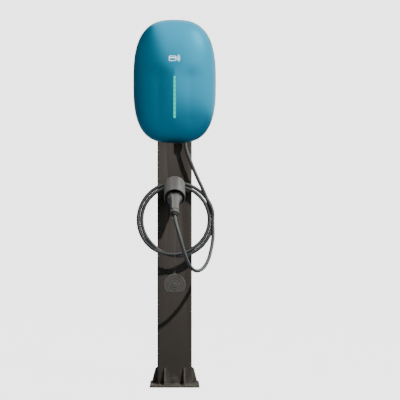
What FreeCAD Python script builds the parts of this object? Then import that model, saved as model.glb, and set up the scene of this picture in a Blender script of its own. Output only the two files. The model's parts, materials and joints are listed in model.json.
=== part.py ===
import FreeCAD, Part
import math
import os

# A pedestal charging station for electric vehicles. Millimetres, +Z up, +X to the right of
# someone facing it, -Y towards them. The origin is the centre of the base plate's underside.
# Distances "ahead" are measured forwards from the column's front face.

# ---- pedestal ----
BASE_SIZE = 172.0
BASE_THICK = 6.0
BASE_CORNER = 6.0
ANCHOR_SPACING = 145.0
ANCHOR_HOLE = 12.0
ENTRY_HOLE = 50.0
COLUMN_WIDTH = 120.0
COLUMN_DEPTH = 60.0
COLUMN_WALL = 3.0
COLUMN_CORNER = 5.0
COLUMN_TOP = 1200.0
RIB_THICK = 5.0
RIB_HEIGHT = 55.0
RIB_TOE = 7.0
RIB_EDGE_DISTANCE = 26.2
FRONT_RIB_FOOT = 34.0
SIDE_RIB_FOOT = 19.5
TOP_CAP_THICK = 3.0
HATCH_WIDTH = 70.0
HATCH_HEIGHT = 160.0
HATCH_BOTTOM = 150.0
HATCH_LAP = 10.0
HATCH_PLATE = 2.0

# ---- head ----
HEAD_WIDTH = 284.0
HEAD_HEIGHT = 424.0
HEAD_CENTRE = 1054.0
HEAD_TOP_EXPONENT = 2.75
HEAD_BOTTOM_EXPONENT = 2.95
COVER_WALL = 3.0
COVER_BACK = 52.0
COVER_RIM = 60.0
COVER_TUCK = 3.0
DOME_DEPTH = 70.0
DOME_EXPONENT = 2.3
BRACKET_DEPTH = 8.0
BRACKET_WIDTH = 90.0
BRACKET_HEIGHT = 210.0
HOUSING_INSET = 26.0
HOUSING_WALL = 3.0
FLANGE_INSET = 7.5
FLANGE_THICK = 3.5
GASKET_THICK = 2.5
GASKET_WIDTH = 5.0
LIP_THICK = 3.0
CABLE_PASS = 34.0
CABLE_PASS_Z = 925.0
LIGHT_WIDTH = 8.0
LIGHT_BOTTOM = 924.0
LIGHT_TOP = 1067.0
LIGHT_DEPTH = 5.0
MARK_CENTRE = 1126.6
MARK_DEPTH = 0.6
BOARD_WIDTH = 150.0
BOARD_HEIGHT = 220.0
BOARD_THICK = 1.6
BOARD_AHEAD = 30.0
CARRIER_AHEAD = 100.0

# ---- cable, gland and holster ----
CABLE = 12.0
GLAND_X = 34.0
GLAND_AHEAD = 34.0
GLAND_THREAD = 20.0
COIL_X = 3.0
COIL_Z = 579.0
COIL_MIDDLE_RADIUS = 122.5
COIL_AHEAD = 40.0
COIL_TILT = 7.0
HOLSTER_TILT = 32.0
CUP_AHEAD = 125.0
CUP_Z = 652.0
CUP_ROOM = 6.0
CUP_WALL = 4.0
CUP_LENGTH = 92.0
CUP_FLOOR = 4.0
INSERT_RECESS = 10.0
KEYWAY_WIDTH = 17.0
NECK_WIDTH = 36.0
NECK_BOTTOM = 652.0
NECK_GAP = 1.5
CUP_SCREW_X = 9.0
CUP_SCREW_DROP = 27.0
FLANGE_PLATE = 4.0
FLANGE_WIDTH = 60.0
FLANGE_BOTTOM = 636.0
FLANGE_TOP = 724.0

# ---- plug, tether and dust cap ----
NOSE_RADIUS = 26.5
NOSE_FLAT = 20.0
NOSE_WALL = 3.0
NOSE_LENGTH = 56.0
HEAD_LENGTH = 30.0
HANDLE_TILT = 49.0
HANDLE_LENGTH = 49.0
COLLAR_RADIUS = 14.9
BAND_THICK = 0.9
COLLAR_LENGTH = 14.0
BOOT_RADIUS = 11.0
BOOT_LENGTH = 8.0
LINK_RADIUS = 6.0
LINK_WIRE = 0.9
EYE_HOLE = 1.6
EYE_RADIUS = 3.6
LANYARD = 2.6
CAP_RADIUS = 37.0
CAP_TOP = 397.0
CAP_HEIGHT = 63.0
CAP_DEPTH = 16.0
CAP_WALL = 2.5
CAP_CORNER = 14.0

# ---- clearances ----
FIT = 0.3
SCREW_CLEARANCE = 0.5

# ---- places that follow from the sizes above ----
FRONT = -COLUMN_DEPTH / 2
HALF_HEAD_WIDTH = HEAD_WIDTH / 2
HALF_HEAD_HEIGHT = HEAD_HEIGHT / 2
FLANGE_AHEAD = COVER_BACK - FLANGE_THICK + SCREW_CLEARANCE
GASKET_AHEAD = FLANGE_AHEAD + FLANGE_THICK
LIP_AHEAD = GASKET_AHEAD + GASKET_THICK
GLAND_SEAT = HEAD_CENTRE - HALF_HEAD_HEIGHT + HOUSING_INSET - 4.0
CUP_BORE = NOSE_RADIUS + CUP_ROOM
CUP_RADIUS = CUP_BORE + CUP_WALL
COIL_INNER_STRAND = COIL_MIDDLE_RADIUS - CABLE / 2
NECK_TOP = COIL_Z + COIL_INNER_STRAND * math.cos(math.radians(COIL_TILT)) - CABLE / 2 - NECK_GAP

# Centre line of the charging cable: hand-placed points outside the coil, as (X, ahead, Z).
LEAD_IN_ROUTE = [
    (34.0, 34.0, 868.0), (34.2, 34.5, 843.0), (41.8, 35.5, 814.0), (52.0, 36.5, 785.0),
    (64.5, 37.0, 750.0), (78.5, 37.0, 718.0), (97.0, 36.0, 681.0), (116.5, 35.0, 636.0),
]
TAIL_ROUTE = [
    (131.0, 42.0, 573.0), (133.5, 51.0, 524.0), (125.0, 69.0, 478.0), (110.5, 95.0, 436.0),
    (89.0, 129.0, 410.5), (64.5, 166.0, 407.0), (44.0, 197.0, 429.0), (30.0, 213.0, 468.0),
    (19.0, 219.0, 512.0), (11.0, 216.0, 544.0), (4.0, 205.5, 567.5), (0.0, 192.8, 586.3),
    (0.0, 182.3, 598.4),
]


def v(x, y, z):
    return FreeCAD.Vector(x, y, z)


def ahead(distance):
    return FRONT - distance


def save(name, *solids):
    shape = solids[0] if len(solids) == 1 else Part.makeCompound(list(solids))
    shape.exportStep("parts/" + name + ".step")
    return shape


def box(x0, x1, y0, y1, z0, z1):
    low = v(min(x0, x1), min(y0, y1), min(z0, z1))
    return Part.makeBox(abs(x1 - x0), abs(y1 - y0), abs(z1 - z0), low)


def rod(radius, start, end):
    """A cylinder between two points."""
    return Part.makeCylinder(radius, (end - start).Length, start, end - start)


def soften(solid, radius, axis):
    """Round the straight edges that run along one axis."""
    edges = []
    for edge in solid.Edges:
        if isinstance(edge.Curve, Part.Line) and abs(edge.Curve.Direction.dot(axis)) > 0.999:
            edges.append(edge)
    return solid.makeFillet(radius, edges)


def hexagon(across_flats, height, centre, direction):
    """A hexagonal prism standing on a point."""
    radius = across_flats / math.sqrt(3)
    corners = [v(radius * math.cos(math.radians(60 * i)), radius * math.sin(math.radians(60 * i)), 0)
               for i in range(7)]
    prism = Part.Face(Part.makePolygon(corners)).extrude(v(0, 0, height))
    prism.Placement = FreeCAD.Placement(centre, FreeCAD.Rotation(v(0, 0, 1), direction))
    return prism


def screw(seat, into, size, length, head_radius=None):
    """A socket button-head screw: seat is the middle of the face its head bears on."""
    into = v(into.x, into.y, into.z).normalize()
    head_radius = head_radius or size * 0.95
    head_height = size * 0.55
    top = seat - into * head_height
    head = Part.makeCone(head_radius, head_radius * 0.6, head_height, seat, into * -1)
    shank = rod(size / 2, seat - into * 0.1, seat + into * length)
    socket = hexagon(size * 0.6, head_height * 0.7, top + into * (head_height * 0.6), into * -1)
    return head.fuse(shank).cut(socket).removeSplitter()


# ---- outlines and lofts ----
def superellipse(half_width, half_height, top_exponent, bottom_exponent, count=48):
    """Points round a squared-off ellipse, as (across, up) pairs."""
    points = []
    for i in range(count):
        angle = 2 * math.pi * i / count
        across, up = math.cos(angle), math.sin(angle)
        power = top_exponent if up > 0 else bottom_exponent
        reach = (abs(across) ** power + abs(up) ** power) ** (-1 / power)
        points.append((half_width * reach * across, half_height * reach * up))
    return points


def closed_curve(points):
    curve = Part.BSplineCurve()
    curve.interpolate(Points=points, PeriodicFlag=True)
    return Part.Wire(curve.toShape())


def head_outline(inset, distance, scale=1.0):
    """The head's outline, moved in by inset and then scaled, at a distance ahead."""
    pairs = superellipse(
        (HALF_HEAD_WIDTH - inset) * scale, (HALF_HEAD_HEIGHT - inset) * scale,
        HEAD_TOP_EXPONENT, HEAD_BOTTOM_EXPONENT)
    return closed_curve([v(x, ahead(distance), HEAD_CENTRE + z) for x, z in pairs])


def head_prism(inset, start, end):
    return Part.Face(head_outline(inset, start)).extrude(v(0, start - end, 0))


def head_point(inset, degrees, distance):
    """A place on the head's outline, at an angle from its right-hand side."""
    angle = math.radians(degrees)
    across, up = math.cos(angle), math.sin(angle)
    power = HEAD_TOP_EXPONENT if up > 0 else HEAD_BOTTOM_EXPONENT
    reach = (abs(across) ** power + abs(up) ** power) ** (-1 / power)
    x = (HALF_HEAD_WIDTH - inset) * reach * across
    z = (HALF_HEAD_HEIGHT - inset) * reach * up
    return v(x, ahead(distance), HEAD_CENTRE + z)


def dome(inset, back):
    """The solid bounded by the cover's surface moved in by inset, from its open back forwards."""
    depth = DOME_DEPTH - inset
    tuck = COVER_RIM - COVER_BACK
    sections = []
    if back < COVER_BACK:
        sections.append(head_outline(inset + COVER_TUCK, back))
    for share in (1.0, 0.7, 0.35):
        tucked = COVER_TUCK * (1 - math.sqrt(1 - share ** 2))
        sections.append(head_outline(inset + tucked, COVER_RIM - tuck * share))
    for degrees in (0, 5, 11, 18, 26, 35, 44, 53, 62, 70, 77, 83, 87):
        angle = math.radians(degrees)
        shrink = math.cos(angle) ** (2 / DOME_EXPONENT)
        rise = depth * math.sin(angle) ** (2 / DOME_EXPONENT)
        sections.append(head_outline(inset, COVER_RIM + rise, shrink))
    return Part.makeLoft(sections, True, False)


# ---- pedestal ----
def corners(half_x, half_z, centre_z):
    return [(sx * half_x, centre_z + sz * half_z) for sx in (-1, 1) for sz in (-1, 1)]


BRACKET_SCREWS = corners(COLUMN_WIDTH / 2 - 28, BRACKET_HEIGHT / 2 - 25, HEAD_CENTRE)
HOUSING_SCREWS = corners(BRACKET_WIDTH / 2 - 10, BRACKET_HEIGHT / 2 - 50, HEAD_CENTRE)
HOLSTER_SCREWS = [(sx * (FLANGE_WIDTH / 2 - 9), z)
                  for sx in (-1, 1) for z in (FLANGE_BOTTOM + 9, FLANGE_TOP - 9)]
HATCH_SCREWS = corners(HATCH_WIDTH / 2 + HATCH_LAP / 2, HATCH_HEIGHT / 2 - 10,
                       HATCH_BOTTOM + HATCH_HEIGHT / 2)


def build_base_plate():
    half = BASE_SIZE / 2
    plate = soften(box(-half, half, -half, half, 0, BASE_THICK), BASE_CORNER, v(0, 0, 1))
    for sx in (-1, 1):
        for sy in (-1, 1):
            centre = v(sx * ANCHOR_SPACING / 2, sy * ANCHOR_SPACING / 2, -1)
            plate = plate.cut(rod(ANCHOR_HOLE / 2, centre, centre + v(0, 0, BASE_THICK + 2)))
    return plate.cut(rod(ENTRY_HOLE / 2, v(0, 0, -1), v(0, 0, BASE_THICK + 1)))


def build_column():
    half_x, half_y = COLUMN_WIDTH / 2, COLUMN_DEPTH / 2
    outer = soften(box(-half_x, half_x, -half_y, half_y, BASE_THICK, COLUMN_TOP),
                   COLUMN_CORNER, v(0, 0, 1))
    inner_x, inner_y = half_x - COLUMN_WALL, half_y - COLUMN_WALL
    inner = soften(box(-inner_x, inner_x, -inner_y, inner_y, BASE_THICK - 1, COLUMN_TOP + 1),
                   COLUMN_CORNER - COLUMN_WALL, v(0, 0, 1))
    tube = outer.cut(inner)
    for x, z in BRACKET_SCREWS:
        tube = tube.cut(rod(3 + SCREW_CLEARANCE, v(x, FRONT - 1, z), v(x, FRONT + COLUMN_WALL + 1, z)))
    for x, z in HOLSTER_SCREWS:
        tube = tube.cut(rod(2.5 + SCREW_CLEARANCE, v(x, FRONT - 1, z), v(x, FRONT + COLUMN_WALL + 1, z)))
    tube = tube.cut(rod(CABLE_PASS / 2, v(0, FRONT - 1, CABLE_PASS_Z),
                        v(0, FRONT + COLUMN_WALL + 1, CABLE_PASS_Z)))
    hatch = box(-HATCH_WIDTH / 2, HATCH_WIDTH / 2, half_y - COLUMN_WALL - 1, half_y + 1,
                HATCH_BOTTOM, HATCH_BOTTOM + HATCH_HEIGHT)
    tube = tube.cut(soften(hatch, 6, v(0, 1, 0)))
    for x, z in HATCH_SCREWS:
        tube = tube.cut(rod(2 + SCREW_CLEARANCE, v(x, half_y - COLUMN_WALL - 1, z), v(x, half_y + 1, z)))
    return tube


def rib(face, foot, direction, across):
    """A gusset that stands on the base plate: face is where it meets the column."""
    top = BASE_THICK + RIB_HEIGHT
    outline = [(0, BASE_THICK + 6), (6, BASE_THICK), (foot, BASE_THICK),
               (foot, BASE_THICK + RIB_TOE), (RIB_TOE, top), (0, top), (0, BASE_THICK + 6)]
    points = [face + direction * out + v(0, 0, z) - across * (RIB_THICK / 2) for out, z in outline]
    return Part.Face(Part.makePolygon(points)).extrude(across * RIB_THICK)


def build_ribs():
    offset = COLUMN_WIDTH / 2 - RIB_EDGE_DISTANCE
    half_y = COLUMN_DEPTH / 2
    front = [rib(v(sx * offset, -half_y, 0), FRONT_RIB_FOOT, v(0, -1, 0), v(1, 0, 0)) for sx in (-1, 1)]
    rear = [rib(v(sx * offset, half_y, 0), FRONT_RIB_FOOT, v(0, 1, 0), v(1, 0, 0)) for sx in (-1, 1)]
    side = [rib(v(sx * COLUMN_WIDTH / 2, 0, 0), SIDE_RIB_FOOT, v(sx, 0, 0), v(0, 1, 0)) for sx in (-1, 1)]
    return front, rear, side


def build_top_cap():
    half_x, half_y = COLUMN_WIDTH / 2, COLUMN_DEPTH / 2
    lid = soften(box(-half_x, half_x, -half_y, half_y, COLUMN_TOP, COLUMN_TOP + TOP_CAP_THICK),
                 COLUMN_CORNER, v(0, 0, 1))
    plug_x, plug_y = half_x - COLUMN_WALL - FIT, half_y - COLUMN_WALL - FIT
    plug = box(-plug_x, plug_x, -plug_y, plug_y, COLUMN_TOP - 14, COLUMN_TOP)
    hollow = box(3 - plug_x, plug_x - 3, 3 - plug_y, plug_y - 3, COLUMN_TOP - 15, COLUMN_TOP - 1)
    skirt = soften(plug, COLUMN_CORNER - COLUMN_WALL, v(0, 0, 1)).cut(hollow)
    return lid.fuse(skirt).removeSplitter()


def build_hatch():
    half_y = COLUMN_DEPTH / 2
    half = HATCH_WIDTH / 2 + HATCH_LAP
    plate = soften(box(-half, half, half_y, half_y + HATCH_PLATE, HATCH_BOTTOM - HATCH_LAP,
                       HATCH_BOTTOM + HATCH_HEIGHT + HATCH_LAP), 8, v(0, 1, 0))
    screws = []
    for x, z in HATCH_SCREWS:
        plate = plate.cut(rod(2 + SCREW_CLEARANCE, v(x, half_y - 1, z), v(x, half_y + HATCH_PLATE + 1, z)))
        screws.append(screw(v(x, half_y + HATCH_PLATE, z), v(0, -1, 0), 4, 10))
    return plate, screws


def build_earth_stud():
    wall = -COLUMN_WIDTH / 2 + COLUMN_WALL
    z = HATCH_BOTTOM + HATCH_HEIGHT / 2
    stud = rod(4, v(wall, 0, z), v(wall + 24, 0, z))
    washer = rod(8, v(wall + 8, 0, z), v(wall + 9.6, 0, z))
    nut = hexagon(13, 6.5, v(wall + 9.6, 0, z), v(1, 0, 0))
    return stud.fuse([washer, nut]).removeSplitter()


# ---- head: bracket, housing and cover ----
def build_bracket():
    half_x, half_z = BRACKET_WIDTH / 2, BRACKET_HEIGHT / 2
    low, high = HEAD_CENTRE - half_z, HEAD_CENTRE + half_z
    tray = soften(box(-half_x, half_x, ahead(0), ahead(BRACKET_DEPTH), low, high), 8, v(0, 1, 0))
    pocket = box(3 - half_x, half_x - 3, ahead(3), ahead(BRACKET_DEPTH + 1), low + 3, high - 3)
    tray = tray.cut(soften(pocket, 5, v(0, 1, 0)))
    for x, z in HOUSING_SCREWS:
        boss = rod(6, v(x, ahead(2), z), v(x, ahead(BRACKET_DEPTH), z))
        hole = rod(2.5 + FIT, v(x, ahead(1), z), v(x, ahead(BRACKET_DEPTH + 1), z))
        tray = tray.fuse(boss).cut(hole)
    for x, z in BRACKET_SCREWS:
        tray = tray.cut(rod(3 + SCREW_CLEARANCE, v(x, ahead(-1), z), v(x, ahead(4), z)))
    bracket_screws = [screw(v(x, ahead(3), z), v(0, 1, 0), 6, 14) for x, z in BRACKET_SCREWS]
    seat = BRACKET_DEPTH + HOUSING_WALL
    housing_screws = [screw(v(x, ahead(seat), z), v(0, 1, 0), 5, 9) for x, z in HOUSING_SCREWS]
    return tray.removeSplitter(), bracket_screws, housing_screws


COVER_SCREW_ANGLES = (28, 90, 152, 208, 255, 332)
COVER_SCREW_INSET = (HOUSING_INSET + FLANGE_INSET) / 2


def build_rear_housing():
    body = head_prism(HOUSING_INSET, BRACKET_DEPTH, FLANGE_AHEAD + 1)
    flange = head_prism(FLANGE_INSET, FLANGE_AHEAD, FLANGE_AHEAD + FLANGE_THICK)
    inside = head_prism(HOUSING_INSET + HOUSING_WALL, BRACKET_DEPTH + HOUSING_WALL, GASKET_AHEAD + 1)
    shell = body.fuse(flange).cut(inside)
    centre = v(GLAND_X, ahead(GLAND_AHEAD), GLAND_SEAT)
    boss = rod(GLAND_THREAD / 2 + 4, centre, centre + v(0, 0, 12))
    shell = shell.fuse(boss)
    shell = shell.cut(rod(GLAND_THREAD / 2 + FIT, centre - v(0, 0, 5), centre + v(0, 0, 30)))
    wall_start, wall_end = ahead(BRACKET_DEPTH - 1), ahead(BRACKET_DEPTH + HOUSING_WALL + 1)
    shell = shell.cut(rod(CABLE_PASS / 2, v(0, wall_start, CABLE_PASS_Z), v(0, wall_end, CABLE_PASS_Z)))
    for x, z in HOUSING_SCREWS:
        shell = shell.cut(rod(2.5 + SCREW_CLEARANCE, v(x, wall_start, z), v(x, wall_end, z)))
    for x, z in BOARD_SCREWS:
        post = rod(4, v(x, ahead(BRACKET_DEPTH + 1), z), v(x, ahead(BOARD_AHEAD), z))
        pilot = rod(1.6, v(x, ahead(BOARD_AHEAD - 12), z), v(x, ahead(BOARD_AHEAD + 1), z))
        shell = shell.fuse(post).cut(pilot)
    for degrees in COVER_SCREW_ANGLES:
        place = head_point(COVER_SCREW_INSET, degrees, FLANGE_AHEAD - 1)
        shell = shell.cut(rod(2 + SCREW_CLEARANCE, place, place + v(0, -FLANGE_THICK - 2, 0)))
    return shell.removeSplitter()


def build_gasket():
    inset = COVER_SCREW_INSET + 4
    outer = head_prism(inset, GASKET_AHEAD, LIP_AHEAD)
    return outer.cut(head_prism(inset + GASKET_WIDTH, GASKET_AHEAD - 1, LIP_AHEAD + 1))


def light_slot(clearance, start, end):
    """The upright slot of the light bar, from one distance ahead to another."""
    half = LIGHT_WIDTH / 2 + clearance
    low, high = LIGHT_BOTTOM - clearance, LIGHT_TOP + clearance
    slot = box(-half, half, ahead(start), ahead(end), low + half, high - half)
    for z in (low + half, high - half):
        slot = slot.fuse(rod(half, v(0, ahead(start), z), v(0, ahead(end), z)))
    return slot.removeSplitter()


def mark_prisms(start, end):
    """A blank payment card with three arcs beside it, as prisms running forwards."""
    def bar(x0, x1, z0, z1, radius):
        block = box(x0, x1, ahead(start), ahead(end), z0, z1)
        return soften(block, radius, v(0, 1, 0))
    card = bar(-19, 5, MARK_CENTRE - 9, MARK_CENTRE + 9, 3.5)
    card = card.cut(bar(-17, 3, MARK_CENTRE - 7, MARK_CENTRE + 7, 1.6))
    stripe = bar(-17.5, 3.5, MARK_CENTRE + 1, MARK_CENTRE + 4, 0.5)
    pieces = [card.fuse(stripe).removeSplitter()]
    centre = v(2.0, 0, MARK_CENTRE)
    sector = Part.makePolygon([centre, centre + v(40, 0, 40), centre + v(40, 0, -40), centre])
    wedge = Part.Face(sector).extrude(v(0, ahead(end) - 1, 0))
    for radius in (8.0, 12.5, 17.0):
        outer = rod(radius, v(2, ahead(start), MARK_CENTRE), v(2, ahead(end), MARK_CENTRE))
        inner = rod(radius - 2.0, v(2, ahead(start), MARK_CENTRE), v(2, ahead(end), MARK_CENTRE))
        pieces.append(outer.cut(inner).common(wedge))
    return pieces


def build_cover():
    outer = dome(0, COVER_BACK)
    shell = outer.cut(dome(COVER_WALL, COVER_BACK - 2))
    lip = head_prism(COVER_WALL / 2, LIP_AHEAD, LIP_AHEAD + LIP_THICK)
    lip = lip.cut(head_prism(COVER_SCREW_INSET + 10, LIP_AHEAD - 1, LIP_AHEAD + LIP_THICK + 1))
    shell = shell.fuse(lip)
    screws = []
    for degrees in COVER_SCREW_ANGLES:
        place = head_point(COVER_SCREW_INSET, degrees, LIP_AHEAD)
        shell = shell.fuse(rod(4.5, place, place + v(0, -11, 0)))
        shell = shell.cut(rod(2 + FIT, place + v(0, 1, 0), place + v(0, -9, 0)))
        seat = v(place.x, ahead(FLANGE_AHEAD), place.z)
        screws.append(screw(seat, v(0, -1, 0), 4, FLANGE_THICK + GASKET_THICK + 8))
    reach = COVER_RIM + DOME_DEPTH + 5
    shell = shell.cut(light_slot(FIT, COVER_RIM, reach))
    lens = light_slot(0, COVER_RIM, reach).common(outer).cut(dome(LIGHT_DEPTH, COVER_BACK - 2))
    skin = outer.cut(dome(MARK_DEPTH, COVER_BACK - 2))
    marks = []
    for piece in mark_prisms(COVER_RIM, reach):
        marks.append(piece.common(skin))
        shell = shell.cut(marks[-1])
    return shell.removeSplitter(), screws, lens, marks


# ---- head: electronics ----
BOARD_SCREWS = corners(BOARD_WIDTH / 2 - 6, BOARD_HEIGHT / 2 - 6, HEAD_CENTRE)


def build_boards():
    half_x, half_z = BOARD_WIDTH / 2, BOARD_HEIGHT / 2
    face = BOARD_AHEAD + BOARD_THICK
    board = box(-half_x, half_x, ahead(BOARD_AHEAD), ahead(face), HEAD_CENTRE - half_z, HEAD_CENTRE + half_z)
    screws = []
    for x, z in BOARD_SCREWS:
        hole = rod(1.5 + SCREW_CLEARANCE, v(x, ahead(BOARD_AHEAD - 1), z), v(x, ahead(face + 1), z))
        board = board.cut(hole)
        screws.append(screw(v(x, ahead(face), z), v(0, 1, 0), 3, 10))
    chips = []
    for x, z, width, height in ((-30, 60, 24, 24), (20, 70, 16, 16), (35, 30, 20, 14)):
        chips.append(box(x - width / 2, x + width / 2, ahead(face - 0.1), ahead(face + 2.4),
                         HEAD_CENTRE + z - height / 2, HEAD_CENTRE + z + height / 2))
    board = board.fuse(chips).removeSplitter()
    relays = [soften(box(x - 15, x + 15, ahead(face), ahead(face + 24), HEAD_CENTRE - 66, HEAD_CENTRE - 16),
                     2, v(0, 1, 0)) for x in (-40, 0)]
    sensor_start = v(45, ahead(face), HEAD_CENTRE - 40)
    sensor = rod(20, sensor_start, sensor_start + v(0, -18, 0))
    sensor = sensor.cut(rod(9, sensor_start + v(0, 1, 0), sensor_start + v(0, -19, 0)))
    return board, screws, relays, sensor


def build_terminals():
    """A five-pole terminal block on the housing's back wall, below the board."""
    back = BRACKET_DEPTH + HOUSING_WALL
    pitch = 13.0
    left = -88.0
    low = HEAD_CENTRE - BOARD_HEIGHT / 2 - 32
    block = box(left, left + 5 * pitch, ahead(back), ahead(back + 26), low, low + 26)
    screws = []
    for pole in range(5):
        x = left + pitch * (pole + 0.5)
        block = block.cut(rod(3.6, v(x, ahead(back + 16), low + 13), v(x, ahead(back + 27), low + 13)))
        block = block.cut(box(x - 4, x + 4, ahead(back + 5), ahead(back + 13), low - 1, low + 8))
        screws.append(screw(v(x, ahead(back + 20), low + 13), v(0, 1, 0), 3.4, 4, 3.2))
    return block, screws


def build_front_carrier():
    """The frame that holds the lamp board and the card reader's antenna behind the cover."""
    back = BRACKET_DEPTH + HOUSING_WALL
    front = CARRIER_AHEAD
    spine = box(-24, 24, ahead(front - 2), ahead(front), LIGHT_BOTTOM, MARK_CENTRE + 28)
    bars = []
    legs = []
    for z in (LIGHT_BOTTOM + 42, MARK_CENTRE - 12):
        bars.append(box(-88, 88, ahead(front - 2), ahead(front), z - 7, z + 7))
        for sx in (-1, 1):
            legs.append(rod(4.5, v(sx * 83, ahead(back), z), v(sx * 83, ahead(front - 1), z)))
    carrier = spine.fuse(bars + legs).removeSplitter()
    lamp_board = box(-7, 7, ahead(front), ahead(front + BOARD_THICK), LIGHT_BOTTOM + 2, LIGHT_TOP - 2)
    lamps = []
    face = front + BOARD_THICK
    for i in range(9):
        z = LIGHT_BOTTOM + 12 + i * (LIGHT_TOP - LIGHT_BOTTOM - 24) / 8
        lamps.append(box(-2.5, 2.5, ahead(face - 0.1), ahead(face + 1.4), z - 2.5, z + 2.5))
    lamp_board = lamp_board.fuse(lamps).removeSplitter()
    antenna = box(-22, 22, ahead(front), ahead(front + BOARD_THICK), MARK_CENTRE - 22, MARK_CENTRE + 22)
    antenna = soften(antenna, 4, v(0, 1, 0))
    return carrier, lamp_board, antenna


def build_grommet():
    """The edge guard where the supply cable passes from the column into the housing."""
    radius = CABLE_PASS / 2 - FIT
    start, end = ahead(-COLUMN_WALL - 2), ahead(BRACKET_DEPTH + HOUSING_WALL)
    sleeve = rod(radius, v(0, start, CABLE_PASS_Z), v(0, end - 2, CABLE_PASS_Z))
    collar = rod(radius + 4, v(0, end, CABLE_PASS_Z), v(0, end - 2, CABLE_PASS_Z))
    bore = rod(radius - 3, v(0, start + 1, CABLE_PASS_Z), v(0, end - 3, CABLE_PASS_Z))
    return sleeve.fuse(collar).cut(bore).removeSplitter()


def build_gland():
    seat = v(GLAND_X, ahead(GLAND_AHEAD), GLAND_SEAT)
    bore = rod(CABLE / 2, seat - v(0, 0, 30), seat + v(0, 0, 30))
    thread = rod(GLAND_THREAD / 2, seat, seat + v(0, 0, 22))
    body = hexagon(24, 7, seat - v(0, 0, 7), v(0, 0, 1))
    dome_nut = rod(11.5, seat - v(0, 0, 17), seat - v(0, 0, 7))
    dome_nut = dome_nut.makeFillet(3, [e for e in dome_nut.Edges if e.BoundBox.ZMax < seat.z - 16.9])
    gland = thread.fuse([body, dome_nut]).cut(bore).removeSplitter()
    nut = hexagon(25, 5, seat + v(0, 0, 12), v(0, 0, 1))
    nut = nut.cut(rod(GLAND_THREAD / 2 + FIT, seat, seat + v(0, 0, 30)))
    return gland, nut


# ---- holster ----
def tilted(shape, tilt, distance, height):
    """Put a piece drawn along +Z with its top towards +Y on an axis that leans down and forwards."""
    turn = math.radians(tilt)
    up = v(0, -math.sin(turn), math.cos(turn))
    along = v(0, -math.cos(turn), -math.sin(turn))
    matrix = FreeCAD.Matrix(1, up.x, along.x, 0, 0, up.y, along.y, ahead(distance),
                            0, up.z, along.z, height, 0, 0, 0, 1)
    return shape.transformed(matrix)


def d_prism(radius, flat, start, end):
    """A round bar with a flat along its top."""
    bar = rod(radius, v(0, 0, start), v(0, 0, end))
    return bar.cut(box(-radius - 1, radius + 1, flat, radius + 1, start - 1, end + 1))


def build_holster():
    outer = rod(CUP_RADIUS, v(0, 0, -CUP_LENGTH), v(0, 0, 0))
    rear_edge = [e for e in outer.Edges if e.BoundBox.ZMax < -CUP_LENGTH + 0.1]
    outer = outer.makeFillet(9, rear_edge)
    cup = outer.cut(rod(CUP_BORE, v(0, 0, CUP_FLOOR - CUP_LENGTH), v(0, 0, 1)))
    mouth_edges = [e for e in cup.Edges if e.BoundBox.ZMin > -0.1]
    cup = cup.makeFillet(1.2, mouth_edges)
    insert = rod(CUP_BORE - FIT, v(0, 0, CUP_FLOOR - CUP_LENGTH), v(0, 0, -INSERT_RECESS))
    socket = d_prism(NOSE_RADIUS + FIT, NOSE_FLAT + FIT, -NOSE_LENGTH - 2, 0)
    keyway = box(-KEYWAY_WIDTH / 2, KEYWAY_WIDTH / 2, NOSE_FLAT - 1, CUP_BORE - 2, -40, 0)
    insert = insert.cut(socket).cut(keyway)
    cup_screws = []
    floor = CUP_FLOOR - CUP_LENGTH
    for x in (-CUP_SCREW_X, CUP_SCREW_X):
        y = -CUP_SCREW_DROP
        cup = cup.cut(rod(2 + SCREW_CLEARANCE, v(x, y, -CUP_LENGTH - 1), v(x, y, floor + 1)))
        cup_screws.append(screw(v(x, y, floor), v(0, 0, -1), 4, 13))
        insert = insert.cut(rod(4.2, v(x, y, floor - 1), v(x, y, floor + 4)))
    place = (HOLSTER_TILT, CUP_AHEAD, CUP_Z)
    cup_screws = [tilted(piece, *place) for piece in cup_screws]
    body = tilted(outer, *place)
    flange = soften(box(-FLANGE_WIDTH / 2, FLANGE_WIDTH / 2, ahead(0), ahead(FLANGE_PLATE),
                        FLANGE_BOTTOM, FLANGE_TOP), 10, v(0, 1, 0))
    neck = box(-NECK_WIDTH / 2, NECK_WIDTH / 2, ahead(FLANGE_PLATE - 1), ahead(48), NECK_BOTTOM, NECK_TOP)
    neck = soften(neck, 4, v(0, 1, 0)).cut(body)
    under = rod(CUP_RADIUS + 30, v(0, 0, -CUP_LENGTH), v(0, 0, 0))
    neck = neck.cut(tilted(under, *place))
    mount = flange.fuse(neck)
    for x in (-CUP_SCREW_X, CUP_SCREW_X):
        pilot = rod(2 + FIT, v(x, -CUP_SCREW_DROP, -CUP_LENGTH - 12), v(x, -CUP_SCREW_DROP, -CUP_LENGTH + 1))
        mount = mount.cut(tilted(pilot, *place))
    wall_screws = []
    for x, z in HOLSTER_SCREWS:
        mount = mount.cut(rod(2.5 + SCREW_CLEARANCE, v(x, ahead(-1), z), v(x, ahead(FLANGE_PLATE + 1), z)))
        wall_screws.append(screw(v(x, ahead(FLANGE_PLATE), z), v(0, 1, 0), 5, 14))
    return mount.removeSplitter(), tilted(cup, *place), tilted(insert, *place), cup_screws, wall_screws


# ---- plug ----
def plug_frame(travel):
    """Where the plug's axis is, and how it leans, at a distance from the cup's mouth."""
    lean = HOLSTER_TILT
    distance, height = CUP_AHEAD, CUP_Z
    step = 1.0
    gone = 0.0
    while gone < travel - 1e-6:
        length = min(step, travel - gone)
        share = min(max((gone - 8) / (HEAD_LENGTH + 8), 0), 1)
        lean = HOLSTER_TILT + (HANDLE_TILT - HOLSTER_TILT) * share
        distance += length * math.cos(math.radians(lean))
        height -= length * math.sin(math.radians(lean))
        gone += length
    return lean, distance, height


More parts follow.
